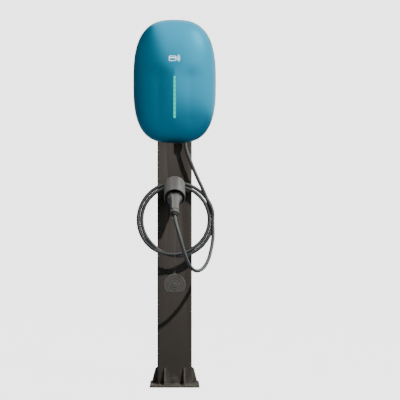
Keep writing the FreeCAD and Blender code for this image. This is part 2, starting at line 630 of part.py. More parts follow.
# Plug body sections: travel from the mouth, half width, half height, squareness.
SHELL_SECTIONS = [
    (2.2, 24.5, 22.5, 2.4), (7, 25.5, 23.5, 2.4), (11, 24.5, 22.0, 2.4), (15, 21.0, 19.5, 2.4),
    (20, 17.5, 17.5, 2.4), (27, 15.2, 16.0, 2.4), (40, 14.2, 14.8, 2.3), (53, 14.0, 14.2, 2.2),
    (HEAD_LENGTH + HANDLE_LENGTH - COLLAR_LENGTH - FIT, 14.4, 14.4, 2.0),
]

# Shell screws: travel from the mouth, height off the axis, and how far right the head's seat is.
SHELL_SCREWS = [(8, -12, NOSE_RADIUS - 7.1), (34, 0, 13.2), (52, 0, 12.2)]


def plug_body(inset, start_shift, end_shift):
    wires = []
    last = len(SHELL_SECTIONS) - 1
    for index, (travel, half_width, half_height, power) in enumerate(SHELL_SECTIONS):
        travel += start_shift if index == 0 else end_shift if index == last else 0
        pairs = superellipse(half_width - inset, half_height - inset, power, power, 24)
        wire = closed_curve([v(x, y, 0) for x, y in pairs])
        wires.append(tilted(wire, *plug_frame(travel)))
    return Part.makeLoft(wires, True, False)


def build_plug():
    nose = d_prism(NOSE_RADIUS, NOSE_FLAT, -NOSE_LENGTH, 2)
    nose = nose.cut(d_prism(NOSE_RADIUS - NOSE_WALL, NOSE_FLAT - NOSE_WALL, -NOSE_LENGTH - 1, -6))
    carrier = d_prism(NOSE_RADIUS - NOSE_WALL - 3, NOSE_FLAT - NOSE_WALL - 3, 4 - NOSE_LENGTH, -5)
    nose = nose.fuse(carrier)
    contacts = []
    ring = [(0, 0, 3.0), (-13, 0, 3.0), (13, 0, 3.0), (-7.5, -11.5, 3.0), (7.5, -11.5, 3.0),
            (-7.5, 9.0, 2.0), (7.5, 9.0, 2.0)]
    for x, y, radius in ring:
        nose = nose.cut(rod(radius + 1, v(x, y, 3 - NOSE_LENGTH), v(x, y, -12)))
        sleeve = rod(radius, v(x, y, 5 - NOSE_LENGTH), v(x, y, -12))
        contacts.append(sleeve.cut(rod(radius - 1, v(x, y, 4 - NOSE_LENGTH), v(x, y, -30))))
    mouth = (HOLSTER_TILT, CUP_AHEAD, CUP_Z)
    nose = tilted(nose.removeSplitter(), *mouth)
    contacts = [tilted(piece, *mouth) for piece in contacts]

    head = d_prism(NOSE_RADIUS, NOSE_FLAT, 2.2, 11)
    front_edges = [e for e in head.Edges if e.BoundBox.ZMin > 10.9]
    head = head.makeFillet(3.5, front_edges)
    body = plug_body(0, 0, 0).fuse(tilted(head, *mouth)).cut(plug_body(2.6, -6, 6)).removeSplitter()
    half = box(0.05, 60, ahead(60), ahead(260), 500, 720)
    shells = [body.common(half), body.common(half.mirror(v(0, 0, 0), v(1, 0, 0)))]
    screws = []
    for travel, drop, depth in SHELL_SCREWS:
        lean, distance, height = plug_frame(travel)
        seat = tilted(Part.Vertex(v(depth, drop, 0)), lean, distance, height).Point
        pocket = rod(3.3, seat, seat + v(20, 0, 0))
        boss = rod(4.4, v(0.05, seat.y, seat.z), seat).common(plug_body(0.5, 0, 0))
        shells[0] = shells[0].fuse(boss).cut(pocket)
        shells[0] = shells[0].cut(rod(1.5 + FIT, seat - v(30, 0, 0), seat))
        screws.append(screw(seat, v(-1, 0, 0), 3, seat.x - 1, 2.9))
    end = HEAD_LENGTH + HANDLE_LENGTH
    lean, distance, height = plug_frame(end)
    collar = rod(COLLAR_RADIUS, v(0, 0, -COLLAR_LENGTH), v(0, 0, 0))
    collar = collar.makeFillet(2, [e for e in collar.Edges if isinstance(e.Curve, Part.Circle)])
    collar = collar.cut(rod(BOOT_RADIUS + FIT, v(0, 0, -COLLAR_LENGTH - 1), v(0, 0, 1)))
    boot = Part.makeCone(BOOT_RADIUS, BOOT_RADIUS - 2, BOOT_LENGTH, v(0, 0, 0), v(0, 0, 1))
    boot = boot.fuse(rod(BOOT_RADIUS, v(0, 0, -COLLAR_LENGTH), v(0, 0, 0)))
    boot = boot.cut(rod(CABLE / 2, v(0, 0, -COLLAR_LENGTH - 1), v(0, 0, BOOT_LENGTH + 1)))
    place = (HANDLE_TILT, distance, height)
    return (nose, contacts, shells, screws, tilted(collar, *place),
            tilted(boot.removeSplitter(), *place))


# ---- tether and dust cap ----
def collar_place(along, out):
    """A place near the collar: along its axis from its end, and out from it on its underside."""
    end = plug_frame(HEAD_LENGTH + HANDLE_LENGTH)
    turn = math.radians(HANDLE_TILT)
    distance = end[1] + along * math.cos(turn) - out * math.sin(turn)
    height = end[2] - along * math.sin(turn) - out * math.cos(turn)
    return v(0, ahead(distance), height)


BAND_BACK = 9.5
BAND_FRONT = 4.0
BAND_OUTER = COLLAR_RADIUS + BAND_THICK
PIVOT = collar_place(-(BAND_BACK + BAND_FRONT) / 2, BAND_OUTER + EYE_RADIUS - 0.5)
LINK_CENTRE = PIVOT - v(0, 0, LINK_RADIUS)
EYE_CENTRE = LINK_CENTRE - v(0, 0, LINK_RADIUS)


def build_tether():
    end = plug_frame(HEAD_LENGTH + HANDLE_LENGTH)
    place = (HANDLE_TILT, end[1], end[2])
    band = rod(BAND_OUTER, v(0, 0, -BAND_BACK), v(0, 0, -BAND_FRONT))
    band = band.cut(rod(COLLAR_RADIUS, v(0, 0, -BAND_BACK - 1), v(0, 0, 0)))
    band = tilted(band, *place)
    lug = rod(EYE_RADIUS, PIVOT - v(1.5, 0, 0), PIVOT + v(1.5, 0, 0))
    inner = tilted(rod(COLLAR_RADIUS, v(0, 0, -BAND_BACK - 6), v(0, 0, 2)), *place)
    band = band.fuse(lug.cut(inner))
    band = band.cut(rod(EYE_HOLE, PIVOT - v(3, 0, 0), PIVOT + v(3, 0, 0))).removeSplitter()
    link = Part.makeTorus(LINK_RADIUS, LINK_WIRE, LINK_CENTRE, v(0, 1, 0))
    return band, link


def build_dust_cap():
    """A rubber cap with a skirt, hanging by a tab on its rim, its face forwards."""
    centre_z = CAP_TOP - CAP_RADIUS
    bottom = CAP_TOP - CAP_HEIGHT

    def disc(radius, start, end, low):
        puck = rod(radius, v(0, -start, centre_z), v(0, -end, centre_z))
        puck = puck.cut(box(-radius - 1, radius + 1, 1 - start, -end - 1, low - 60, low))
        return soften(puck, CAP_CORNER, v(0, 1, 0))

    cap = disc(CAP_RADIUS, 0, CAP_DEPTH, bottom)
    face_edges = [e for e in cap.Edges if e.BoundBox.YMax < 0.1 - CAP_DEPTH]
    cap = cap.makeFillet(2.0, face_edges)
    cap = cap.cut(disc(CAP_RADIUS - CAP_WALL, -1, CAP_DEPTH - 3, bottom + CAP_WALL))
    for radius in (12.0, 20.0, 28.0):
        groove = rod(radius, v(0, 0.8 - CAP_DEPTH, centre_z), v(0, -CAP_DEPTH - 1, centre_z))
        core = rod(radius - 1.2, v(0, 1 - CAP_DEPTH, centre_z), v(0, -CAP_DEPTH - 2, centre_z))
        ring = groove.cut(core)
        ring = ring.cut(box(-60, 60, 2 - CAP_DEPTH, -CAP_DEPTH - 2, bottom - 60, bottom + 4))
        cap = cap.cut(ring)
    cap = cap.Solids[0]
    hang = -cap.CenterOfMass.y
    tab = box(-4, 4, 2.5 - hang, -2.5 - hang, CAP_TOP - 2, CAP_TOP + 8)
    tab = soften(tab, 2, v(0, 0, 1)).cut(disc(CAP_RADIUS - CAP_WALL / 2, -1, CAP_DEPTH + 1, bottom))
    cap = cap.fuse(tab).removeSplitter()
    cap.translate(v(0, PIVOT.y + hang, 0))
    eye = rod(EYE_RADIUS, EYE_CENTRE - v(1.2, 0, 0), EYE_CENTRE + v(1.2, 0, 0))
    eye = eye.cut(rod(EYE_HOLE, EYE_CENTRE - v(3, 0, 0), EYE_CENTRE + v(3, 0, 0)))
    ferrule_top = EYE_CENTRE.z - EYE_RADIUS + 0.4
    ferrule = rod(2.2, v(0, PIVOT.y, ferrule_top), v(0, PIVOT.y, ferrule_top - 9))
    eye = eye.fuse(ferrule).removeSplitter()
    cord = rod(LANYARD / 2, v(0, PIVOT.y, ferrule_top - 9), v(0, PIVOT.y, CAP_TOP + 8))
    return cap, eye, cord


# ---- charging cable ----
def cable_tube(name, route, diameter):
    """Straight runs joined by tangent arcs, each as large as its two runs allow."""
    points = [v(x, ahead(distance), z) for x, distance, z in route]
    edges = []
    radii = []
    start = points[0]
    for before, corner, after in zip(points, points[1:], points[2:]):
        run_in, run_out = corner - before, after - corner
        back = 0.45 * min(run_in.Length, run_out.Length)
        turn = run_in.getAngle(run_out)
        radius = back / math.tan(turn / 2)
        radii.append(round(radius))
        arc_start = corner - run_in.normalize() * back
        arc_end = corner + run_out.normalize() * back
        inward = ((arc_start + arc_end) * 0.5 - corner).normalize()
        middle = corner + inward * (radius / math.cos(turn / 2) - radius)
        edges.append(Part.LineSegment(start, arc_start).toShape())
        edges.append(Part.Arc(arc_start, middle, arc_end).toShape())
        start = arc_end
    edges.append(Part.LineSegment(start, points[-1]).toShape())
    path = Part.Wire(edges)
    circle = Part.Circle(points[0], points[1] - points[0], diameter / 2)
    tube = path.makePipeShell([Part.Wire(circle.toShape())], True, False)
    section = math.pi * diameter ** 2 / 4
    print(name, "length", round(path.Length), "radii", radii,
          "volume ratio", round(tube.Volume / (section * path.Length), 4), tube.isValid())
    return tube


def build_coil():
    """The outer shape of two turns that lie side by side, leaning out at the bottom."""
    inner, outer = COIL_MIDDLE_RADIUS - CABLE / 2, COIL_MIDDLE_RADIUS + CABLE / 2
    radius = CABLE / 2
    low, high = v(inner, -radius, 0), v(inner, radius, 0)
    far_low, far_high = v(outer, -radius, 0), v(outer, radius, 0)
    edges = [
        Part.LineSegment(low, far_low).toShape(),
        Part.Arc(far_low, v(outer + radius, 0, 0), far_high).toShape(),
        Part.LineSegment(far_high, high).toShape(),
        Part.Arc(high, v(inner - radius, 0, 0), low).toShape(),
    ]
    ring = Part.Face(Part.Wire(edges)).revolve(v(0, 0, 0), v(0, 1, 0), 360)
    ring.rotate(v(0, 0, 0), v(1, 0, 0), -COIL_TILT)
    ring.translate(v(COIL_X, ahead(COIL_AHEAD), COIL_Z))
    return ring


def main():
    os.makedirs("parts", exist_ok=True)
    save("base_plate", build_base_plate())
    save("column", build_column())
    front, rear, side = build_ribs()
    save("front_ribs", *front)
    save("rear_ribs", *rear)
    save("side_ribs", *side)
    save("column_top_cap", build_top_cap())
    hatch, hatch_screws = build_hatch()
    save("service_cover", hatch)
    save("service_cover_screws", *hatch_screws)
    save("earth_stud", build_earth_stud())

    bracket, bracket_screws, housing_screws = build_bracket()
    save("wall_bracket", bracket)
    save("bracket_screws", *bracket_screws)
    save("rear_housing", build_rear_housing())
    save("housing_screws", *housing_screws)
    save("housing_gasket", build_gasket())
    cover, cover_screws, lens, marks = build_cover()
    save("front_cover", cover)
    save("cover_screws", *cover_screws)
    save("light_bar", lens)
    save("card_mark", *marks)
    board, board_screws, relays, sensor = build_boards()
    save("main_board", board)
    save("board_screws", *board_screws)
    save("power_relays", *relays)
    save("residual_current_sensor", sensor)
    block, terminal_screws = build_terminals()
    save("supply_terminal_block", block)
    save("terminal_screws", *terminal_screws)
    carrier, lamp_board, antenna = build_front_carrier()
    save("front_carrier", carrier)
    save("light_bar_board", lamp_board)
    save("card_antenna_board", antenna)
    save("supply_grommet", build_grommet())
    gland, gland_nut = build_gland()
    save("cable_gland", gland)
    save("gland_nut", gland_nut)

    mount, cup, insert, cup_screws, wall_screws = build_holster()
    save("holster_mount", mount)
    save("holster_cup", cup)
    save("holster_insert", insert)
    save("holster_cup_screws", *cup_screws)
    save("holster_screws", *wall_screws)

    nose, contacts, shells, plug_screws, collar, boot = build_plug()
    save("plug_nose", nose)
    save("plug_contacts", *contacts)
    save("plug_shell_right", shells[0])
    save("plug_shell_left", shells[1])
    save("plug_screws", *plug_screws)
    save("plug_collar", collar)
    save("plug_boot", boot)
    band, link = build_tether()
    save("tether_band", band)
    save("tether_link", link)
    cap, eye, cord = build_dust_cap()
    save("dust_cap", cap)
    save("lanyard_eye", eye)
    save("cap_lanyard", cord)

    save("cable_lead_in", cable_tube("cable_lead_in", LEAD_IN_ROUTE, CABLE))
    save("cable_coil", build_coil())
    save("cable_tail", cable_tube("cable_tail", TAIL_ROUTE, CABLE))
    print("plug end", plug_frame(HEAD_LENGTH + HANDLE_LENGTH), "pivot", PIVOT, "eye", EYE_CENTRE)


main()
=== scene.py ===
"""A pedestal charging post for electric vehicles, finished around its CAD frame."""
import json
import math

import bmesh
import bpy
from mathutils import Matrix, Vector

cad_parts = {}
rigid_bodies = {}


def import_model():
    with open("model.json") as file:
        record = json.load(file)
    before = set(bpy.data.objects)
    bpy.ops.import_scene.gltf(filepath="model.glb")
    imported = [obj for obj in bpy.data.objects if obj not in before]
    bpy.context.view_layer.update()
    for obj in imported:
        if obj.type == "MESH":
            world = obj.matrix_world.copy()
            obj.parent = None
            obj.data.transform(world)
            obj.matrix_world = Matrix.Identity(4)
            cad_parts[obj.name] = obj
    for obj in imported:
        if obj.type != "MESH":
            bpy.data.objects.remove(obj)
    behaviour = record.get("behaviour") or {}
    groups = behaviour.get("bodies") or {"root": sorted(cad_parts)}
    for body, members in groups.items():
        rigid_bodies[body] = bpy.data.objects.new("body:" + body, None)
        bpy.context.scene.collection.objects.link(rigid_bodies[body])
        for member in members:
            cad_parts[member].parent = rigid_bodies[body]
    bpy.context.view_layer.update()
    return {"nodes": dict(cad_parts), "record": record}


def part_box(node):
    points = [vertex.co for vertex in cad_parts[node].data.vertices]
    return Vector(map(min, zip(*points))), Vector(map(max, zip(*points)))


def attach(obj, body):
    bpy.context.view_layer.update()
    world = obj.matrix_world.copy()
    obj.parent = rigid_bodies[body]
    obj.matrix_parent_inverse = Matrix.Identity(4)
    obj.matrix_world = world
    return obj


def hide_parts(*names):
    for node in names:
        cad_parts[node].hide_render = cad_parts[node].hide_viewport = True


bl_info = {
    "name": "Charging Post",
    "version": (1, 0, 0),
    "blender": (4, 5, 0),
    "location": "View3D > Sidebar > Charging Post",
    "description": "Finishes the pieces of a pedestal charging post",
    "category": "Object",
}

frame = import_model()
MM = 0.001
ROOT_BODY = "post"
CAP_BODY = "cap"


# ---- places read from the frame
def span(node):
    """A CAD node's lowest and highest corner, in metres."""
    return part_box(node)


COLUMN_LOW, COLUMN_HIGH = span("column")
FRONT_Y = COLUMN_LOW.y
COVER_LOW, COVER_HIGH = span("front_cover")
COVER_CENTRE_Z = (COVER_LOW.z + COVER_HIGH.z) / 2
COVER_HALF_WIDTH = (COVER_HIGH.x - COVER_LOW.x) / 2
COVER_HALF_HEIGHT = (COVER_HIGH.z - COVER_LOW.z) / 2
COVER_BACK_Y = COVER_HIGH.y
COVER_FRONT_Y = COVER_LOW.y
BAR_LOW, BAR_HIGH = span("light_bar")


def ahead(x, distance, z):
    """A point given as (across, ahead of the column's front face, up), in millimetres."""
    return Vector((x * MM, FRONT_Y - distance * MM, z * MM))


# ---- settings a user would change
def colour(name, description, default):
    return bpy.props.FloatVectorProperty(
        name=name, description=description, subtype="COLOR", size=3, min=0, max=1,
        default=default)


def length(name, description, default, low=0.0, high=1.0):
    return bpy.props.FloatProperty(
        name=name, description=description, default=default, min=low, max=high,
        unit="LENGTH", precision=4)


class PostFinishes(bpy.types.PropertyGroup):
    """Colours of the post's materials."""
    steel_coat: colour("Column coat", "Powder coat on the steelwork", (0.034, 0.029, 0.025))
    cover: colour("Front cover", "Moulded dome of the wall box", (0.008, 0.200, 0.330))
    housing: colour("Housing", "Back shell of the wall box", (0.030, 0.030, 0.032))
    holster: colour("Holster", "Holster cup and its bracket", (0.060, 0.057, 0.054))
    plug: colour("Plug", "Plug shells, collar and tether band", (0.064, 0.058, 0.054))
    cable: colour("Cable", "Jacket of the charging cable", (0.010, 0.010, 0.010))
    dust_cap: colour("Dust cap", "Rubber cap that covers the plug", (0.040, 0.037, 0.034))
    light: colour("Light bar", "Glow of the light bar", (0.0, 0.80, 0.60))
    mark: colour("Card mark", "Print that shows where to hold a card", (0.62, 0.82, 0.86))


class PostShapes(bpy.types.PropertyGroup):
    """Sizes that the frame leaves open."""
    ridge_depth: length("Ridge depth", "How far the dome falls beside its ridge", 0.0042, 0, 0.01)
    ridge_width: length("Ridge width", "Half width of the ridge's band", 0.080, 0.01, 0.2)
    cover_wall: length("Cover wall", "Thickness of the moulded dome", 0.003, 0.001, 0.01)
    weld_size: length("Weld size", "Leg of the fillet welds at the foot", 0.0035, 0, 0.01)
    weld_pitch: length("Weld ripple", "Distance between weld ripples", 0.0022, 0.001, 0.01)
    cable_diameter: length("Cable diameter", "Outside of the jacket", 0.012, 0.005, 0.03)
    coil_radius: length("Coil radius", "Middle of the coil's two turns", 0.1225, 0.05, 0.3)


# ---- shader maths
class Value:
    """A node's output that takes part in arithmetic."""

    def __init__(self, tree, socket):
        self.tree = tree
        self.socket = socket

    def math(self, operation, *others, flipped=False):
        values = [self, *others]
        if flipped:
            values.reverse()
        node = new_node(self.tree, "ShaderNodeMath", {"operation": operation}, enumerate(values))
        return Value(self.tree, node.outputs[0])

    def __add__(self, other):
        return self.math("ADD", other)

    __radd__ = __add__

    def __sub__(self, other):
        return self.math("SUBTRACT", other)

    def __rsub__(self, other):
        return self.math("SUBTRACT", other, flipped=True)

    def __mul__(self, other):
        return self.math("MULTIPLY", other)

    __rmul__ = __mul__

    def above(self, edge, soft):
        """0 below the edge, 1 above it, changing over a soft band."""
        node = new_node(self.tree, "ShaderNodeMapRange", {"interpolation_type": "SMOOTHSTEP"},
                        enumerate((self, edge - soft, edge + soft, 0.0, 1.0)))
        return Value(self.tree, node.outputs[0])


def feed(tree, slot, value):
    """Link a socket to a value, or set it to a number or a colour."""
    if isinstance(value, Value):
        tree.links.new(value.socket, slot)
    elif isinstance(value, bpy.types.NodeSocket):
        tree.links.new(value, slot)
    elif slot.type == "RGBA" and hasattr(value, "__len__") and len(value) == 3:
        slot.default_value = (*value, 1.0)
    else:
        slot.default_value = value


def new_node(tree, kind, settings=(), inputs=()):
    """Any node: its settings first, then its sockets by name or number."""
    node = tree.nodes.new(kind)
    for key, value in dict(settings).items():
        setattr(node, key, value)
    for key, value in dict(inputs).items():
        feed(tree, node.inputs[key], value)
    return node


class Finish:
    """One procedural material, built on a Principled shader."""

    def __init__(self, name, base, roughness, metallic=0.0, coat=0.0, coat_roughness=0.1,
                 specular=0.5):
        self.material = bpy.data.materials.new(name)
        self.material.use_nodes = True
        self.tree = self.material.node_tree
        self.shader = self.tree.nodes["Principled BSDF"]
        self.put("Base Color", tuple(base))
        self.put("Roughness", roughness)
        self.put("Metallic", metallic)
        self.put("Coat Weight", coat)
        self.put("Coat Roughness", coat_roughness)
        self.put("Specular IOR Level", specular)
        self.material.diffuse_color = (*base, 1.0)
        self.place = self.node("ShaderNodeTexCoord").outputs["Object"]
        self.height = None

    def node(self, kind, settings=(), **inputs):
        return new_node(self.tree, kind, settings, inputs)

    def put(self, socket, value):
        feed(self.tree, self.shader.inputs[socket], value)

    def noise(self, per_metre, detail=3.0, roughness=0.55, stretch=None):
        place = self.place
        if stretch:
            mapping = self.node("ShaderNodeMapping", Vector=place, Scale=stretch)
            place = mapping.outputs[0]
        node = self.node("ShaderNodeTexNoise", Vector=place, Scale=per_metre, Detail=detail,
                         Roughness=roughness)
        return Value(self.tree, node.outputs["Fac"])

    def cells(self, per_metre, feature="F1"):
        node = self.node("ShaderNodeTexVoronoi", {"feature": feature}, Vector=self.place,
                         Scale=per_metre)
        return Value(self.tree, node.outputs["Distance"])

    def axis(self, letter):
        node = self.node("ShaderNodeSeparateXYZ", Vector=self.place)
        return Value(self.tree, node.outputs[letter])

    def mix(self, factor, first, second):
        """Two colours mixed: a Mix node's colour sockets have numbers only."""
        node = new_node(self.tree, "ShaderNodeMix", {"data_type": "RGBA"},
                        {0: factor, 6: first, 7: second})
        return Value(self.tree, node.outputs[2])

    def bump(self, height, distance, strength=1.0):
        node = self.node("ShaderNodeBump", Strength=strength, Distance=distance, Height=height)
        if self.height:
            feed(self.tree, node.inputs["Normal"], self.height)
        self.height = Value(self.tree, node.outputs["Normal"])
        self.put("Normal", self.height)


def shade(colour_value, factor):
    return tuple(min(1.0, channel * factor) for channel in colour_value)


def powder_coat(base):
    """Dark satin powder coat: orange peel, faint streaks and a little dust near the ground."""
    finish = Finish("powder_coat", base, 0.45, specular=0.18)
    patch = finish.noise(7.0, 4.0)
    streak = finish.noise(26.0, 3.0, 0.6, (1.0, 1.0, 0.06))
    tone = finish.mix(patch, shade(base, 0.88), shade(base, 1.14))
    dusty = (1.0 - finish.axis("Z").above(0.035, 0.05)) * finish.noise(55.0, 5.0).above(0.52, 0.14)
    finish.put("Base Color", finish.mix(dusty * 0.30, tone, (0.17, 0.155, 0.135)))
    finish.put("Roughness", 0.37 + patch * 0.10 + streak * 0.08 + dusty * 0.15)
    finish.bump(finish.noise(700.0, 2.0, 0.5), 0.00010, 0.55)
    finish.bump(finish.cells(1900.0), 0.00004, 0.35)
    return finish.material


def zinc_plate():
    base = (0.56, 0.55, 0.53)
    finish = Finish("zinc_plate", base, 0.34, metallic=1.0)
    grain = finish.noise(420.0, 4.0)
    finish.put("Base Color", finish.mix(grain, shade(base, 0.82), shade(base, 1.08)))
    finish.put("Roughness", 0.26 + grain * 0.18)
    finish.bump(grain, 0.00004, 0.5)
    return finish.material


def moulded(name, base, roughness, grain_per_metre=1500.0, grain_depth=0.00004):
    """Injection-moulded plastic: a spark-eroded grain and slow changes of tone and gloss."""
    finish = Finish(name, base, roughness)
    slow = finish.noise(18.0, 3.0)
    rubbed = finish.noise(90.0, 5.0, 0.6).above(0.60, 0.10)
    finish.put("Base Color", finish.mix(slow, shade(base, 0.9), shade(base, 1.1)))
    finish.put("Roughness", (roughness - 0.05) + slow * 0.08 + rubbed * 0.05)
    finish.bump(finish.noise(grain_per_metre, 2.0, 0.6), grain_depth, 0.6)
    return finish.material


def cover_plastic(base):
    """The dome's pearl teal: fine flakes under a thin clear coat, with slow waves of gloss."""
    finish = Finish("cover_plastic", base, 0.38, metallic=0.84, coat=0.15, coat_roughness=0.22,
                    specular=0.4)
    slow = finish.noise(4.0, 2.0)
    fine = finish.noise(60.0, 4.0)
    flake = finish.cells(2600.0)
    tone = finish.mix(slow, shade(base, 0.98), shade(base, 1.02))
    finish.put("Base Color", finish.mix(flake * 0.30, tone, shade(base, 1.35)))
    finish.put("Roughness", 0.34 + slow * 0.03 + fine * 0.03)
    finish.bump(finish.noise(1400.0, 2.0, 0.5), 0.000012, 0.3)
    return finish.material


def rubber(name, base, roughness=0.62):
    """Matt rubber: a fine grain and a paler bloom in patches."""
    finish = Finish(name, base, roughness, specular=0.35)
    slow = finish.noise(30.0, 4.0)
    bloom = finish.noise(140.0, 5.0, 0.65).above(0.56, 0.12)
    finish.put("Base Color", finish.mix(bloom * 0.25 + slow * 0.15, base, shade(base, 1.7)))
    finish.put("Roughness", (roughness - 0.06) + slow * 0.10 + bloom * 0.05)
    finish.bump(finish.noise(1100.0, 3.0, 0.6), 0.00005, 0.6)
    return finish.material


def cable_jacket(base):
    """Satin jacket with a soft sheen, slow changes of gloss and light scuffs."""
    finish = Finish("cable_jacket", base, 0.45, coat=0.3, coat_roughness=0.35, specular=0.7)
    scuff = finish.noise(70.0, 5.0, 0.65).above(0.62, 0.08)
    slow = finish.noise(14.0, 3.0)
    finish.put("Base Color", finish.mix(scuff * 0.25, base, shade(base, 2.2)))
    finish.put("Roughness", 0.42 + slow * 0.05 + scuff * 0.12)
    return finish.material


LAMPS, LAMP_MARGIN = 8, 0.012  # behind the lens, and the length past the last at each end


def lit_lens(base):
    """A milky lens lit from behind, a little brighter in front of each lamp."""
    finish = Finish("lit_lens", shade(base, 0.06), 0.5, specular=0.05)
    z = finish.axis("Z")
    pitch = (BAR_HIGH.z - BAR_LOW.z - 2 * LAMP_MARGIN) / LAMPS
    wave = ((z - (BAR_LOW.z + LAMP_MARGIN)) * (2 * math.pi / pitch)).math("COSINE")
    glow = finish.mix(wave * 0.5 + 0.5, base, shade(base, 0.80))
    finish.put("Emission Color", glow)
    finish.put("Emission Strength", 1.1)
    return finish.material


def print_ink(base):
    """Flat screen print with a little tooth."""
    finish = Finish("print_ink", base, 0.42)
    grain = finish.noise(900.0, 3.0)
    finish.put("Base Color", finish.mix(grain, shade(base, 0.92), shade(base, 1.05)))
    finish.bump(grain, 0.00002, 0.4)
    return finish.material


def circuit_board():
    """Solder mask with tracks under it."""
    base = (0.012, 0.105, 0.050)
    finish = Finish("circuit_board", base, 0.32, coat=0.4)
    tracks = finish.cells(170.0, "DISTANCE_TO_EDGE").above(0.06, 0.02)
    pads = finish.cells(260.0).above(0.16, 0.02)
    under = finish.mix(tracks, (0.03, 0.19, 0.09), base)
    finish.put("Base Color", finish.mix(pads, (0.62, 0.55, 0.32), under))
    finish.put("Metallic", (1.0 - pads) * 0.8)
    finish.bump(tracks, 0.00003, 0.4)
    return finish.material


def silvered():
    """Silver-plated contacts with patches of tarnish."""
    base = (0.78, 0.75, 0.69)
    finish = Finish("silver_plate", base, 0.22, metallic=1.0)
    tarnish = finish.noise(300.0, 4.0).above(0.55, 0.15)
    finish.put("Base Color", finish.mix(tarnish * 0.4, base, (0.45, 0.38, 0.26)))
    finish.put("Roughness", 0.18 + tarnish * 0.20)
    return finish.material


FINISHES = {}


def finish_of(slot_name):
    """The material that finishes a slot, made once."""
    if slot_name in FINISHES:
        return FINISHES[slot_name]
    look = bpy.context.scene.post_finishes
    makers = {
        "column_coat": lambda: powder_coat(look.steel_coat),
        "zinc_steel": zinc_plate,
        "cover_teal": lambda: cover_plastic(look.cover),
        "housing_plastic": lambda: moulded(slot_name, look.housing, 0.58, 900.0, 0.00010),
        "holster_plastic": lambda: moulded(slot_name, look.holster, 0.34, 1200.0, 0.00003),
        "plug_plastic": lambda: moulded(slot_name, look.plug, 0.34, 1300.0, 0.00003),
        "black_plastic": lambda: moulded(slot_name, (0.014, 0.014, 0.015), 0.50),
        "seal_rubber": lambda: rubber(slot_name, (0.013, 0.013, 0.013)),
        "cap_rubber": lambda: rubber(slot_name, look.dust_cap, 0.55),
        "cable_jacket": lambda: cable_jacket(look.cable),
        "light_lens": lambda: lit_lens(look.light),
        "mark_print": lambda: print_ink(look.mark),
        "circuit_board": circuit_board,
        "component_plastic": lambda: moulded(slot_name, (0.025, 0.025, 0.030), 0.45),
        "terminal_plastic": lambda: moulded(slot_name, (0.36, 0.37, 0.37), 0.48),
        "silver_contact": silvered,
    }
    FINISHES[slot_name] = makers[slot_name]()
    return FINISHES[slot_name]


# ---- making pieces
NODE_SLOTS = {row["node"]: row["material_slot"] for row in frame["record"]["subparts"]}
NODE_BODY = {node: body for body, nodes in frame["record"]["behaviour"]["bodies"].items()
             for node in nodes}
MERGE_DISTANCE = 2e-6
SHARP_ANGLE = 35.0


def linked(name, data):
    """A new object, in the scene."""
    item = bpy.data.objects.new(name, data)
    bpy.context.scene.collection.objects.link(item)
    return item


def new_piece(name, mesh, slot_name, body, *replaced):
    """A finished piece of the object, at the origin, riding on a body."""
    piece = linked(name, mesh)
    mesh.materials.clear()
    mesh.materials.append(finish_of(slot_name))
    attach(piece, body)
    if replaced:
        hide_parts(*replaced)
    return piece


def baked(piece):
    """Turn a piece's live modifiers into plain mesh."""
    graph = bpy.context.evaluated_depsgraph_get()
    mesh = bpy.data.meshes.new_from_object(piece.evaluated_get(graph))
    piece.modifiers.clear()
    old = piece.data
    piece.data = mesh
    if old.users == 0 and isinstance(old, bpy.types.Mesh):
        bpy.data.meshes.remove(old)
    return piece


def smooth(mesh, degrees):
    """Smooth shading, with edges sharper than the angle kept sharp."""
    mesh.shade_smooth()
    mesh.set_sharp_from_angle(angle=math.radians(degrees))


def rounded_edges(piece, width, degrees, segments):
    """Round the edges that are sharper than the angle."""
    bevel = piece.modifiers.new("edges", "BEVEL")
    bevel.width = width
    bevel.segments = segments
    bevel.limit_method = "ANGLE"
    bevel.angle_limit = math.radians(degrees)
    baked(piece)


def bridged(rings, capped=True):
    """Points and faces of a skin over rings that have the same number of points."""
    count = len(rings[0])
    points = [point for ring in rings for point in ring]
    end = len(points) - count
    faces = [tuple(range(count)), tuple(range(end, len(points)))] if capped else []
    for row in range(0, end, count):
        for i in range(count):
            j = (i + 1) % count
            faces.append((row + i, row + j, row + count + j, row + count + i))
    return points, faces


def mesh_from(name, points, faces, closed=True):
    """A mesh of points and faces, with a closed one's faces turned outwards."""
    build = bmesh.new()
    corners = [build.verts.new(point) for point in points]
    for face in faces:
        build.faces.new([corners[i] for i in face])
    if closed:
        bmesh.ops.recalc_face_normals(build, faces=build.faces)
    mesh = bpy.data.meshes.new(name)
    build.to_mesh(mesh)
    build.free()
    return mesh


def merged_copy(node):
    """A CAD node's mesh with its loose triangles merged and its flats made whole."""
    mesh = frame["nodes"][node].data.copy()
    build = bmesh.new()
    build.from_mesh(mesh)
    bmesh.ops.remove_doubles(build, verts=build.verts, dist=MERGE_DISTANCE)
    bmesh.ops.dissolve_degenerate(build, edges=build.edges, dist=1e-6)
    bmesh.ops.dissolve_limit(build, angle_limit=math.radians(1.0), verts=build.verts,
                             edges=build.edges, use_dissolve_boundaries=False)
    build.to_mesh(mesh)
    build.free()
    if "custom_normal" in mesh.attributes:
        mesh.attributes.remove(mesh.attributes["custom_normal"])
    return mesh


def refined(node, name, edge_round=0.0, segments=2):
    """A CAD node again, with its edges rounded and its curves shaded smooth."""
    piece = new_piece(name, merged_copy(node), NODE_SLOTS[node], NODE_BODY[node], node)
    if edge_round > 0:
        rounded_edges(piece, edge_round, SHARP_ANGLE, segments)
    smooth(piece.data, SHARP_ANGLE)
    return piece


def carried(node):
    """A CAD node that stays as it is, with its finished material."""
    for material_slot in frame["nodes"][node].material_slots:
        material_slot.material = finish_of(NODE_SLOTS[node])


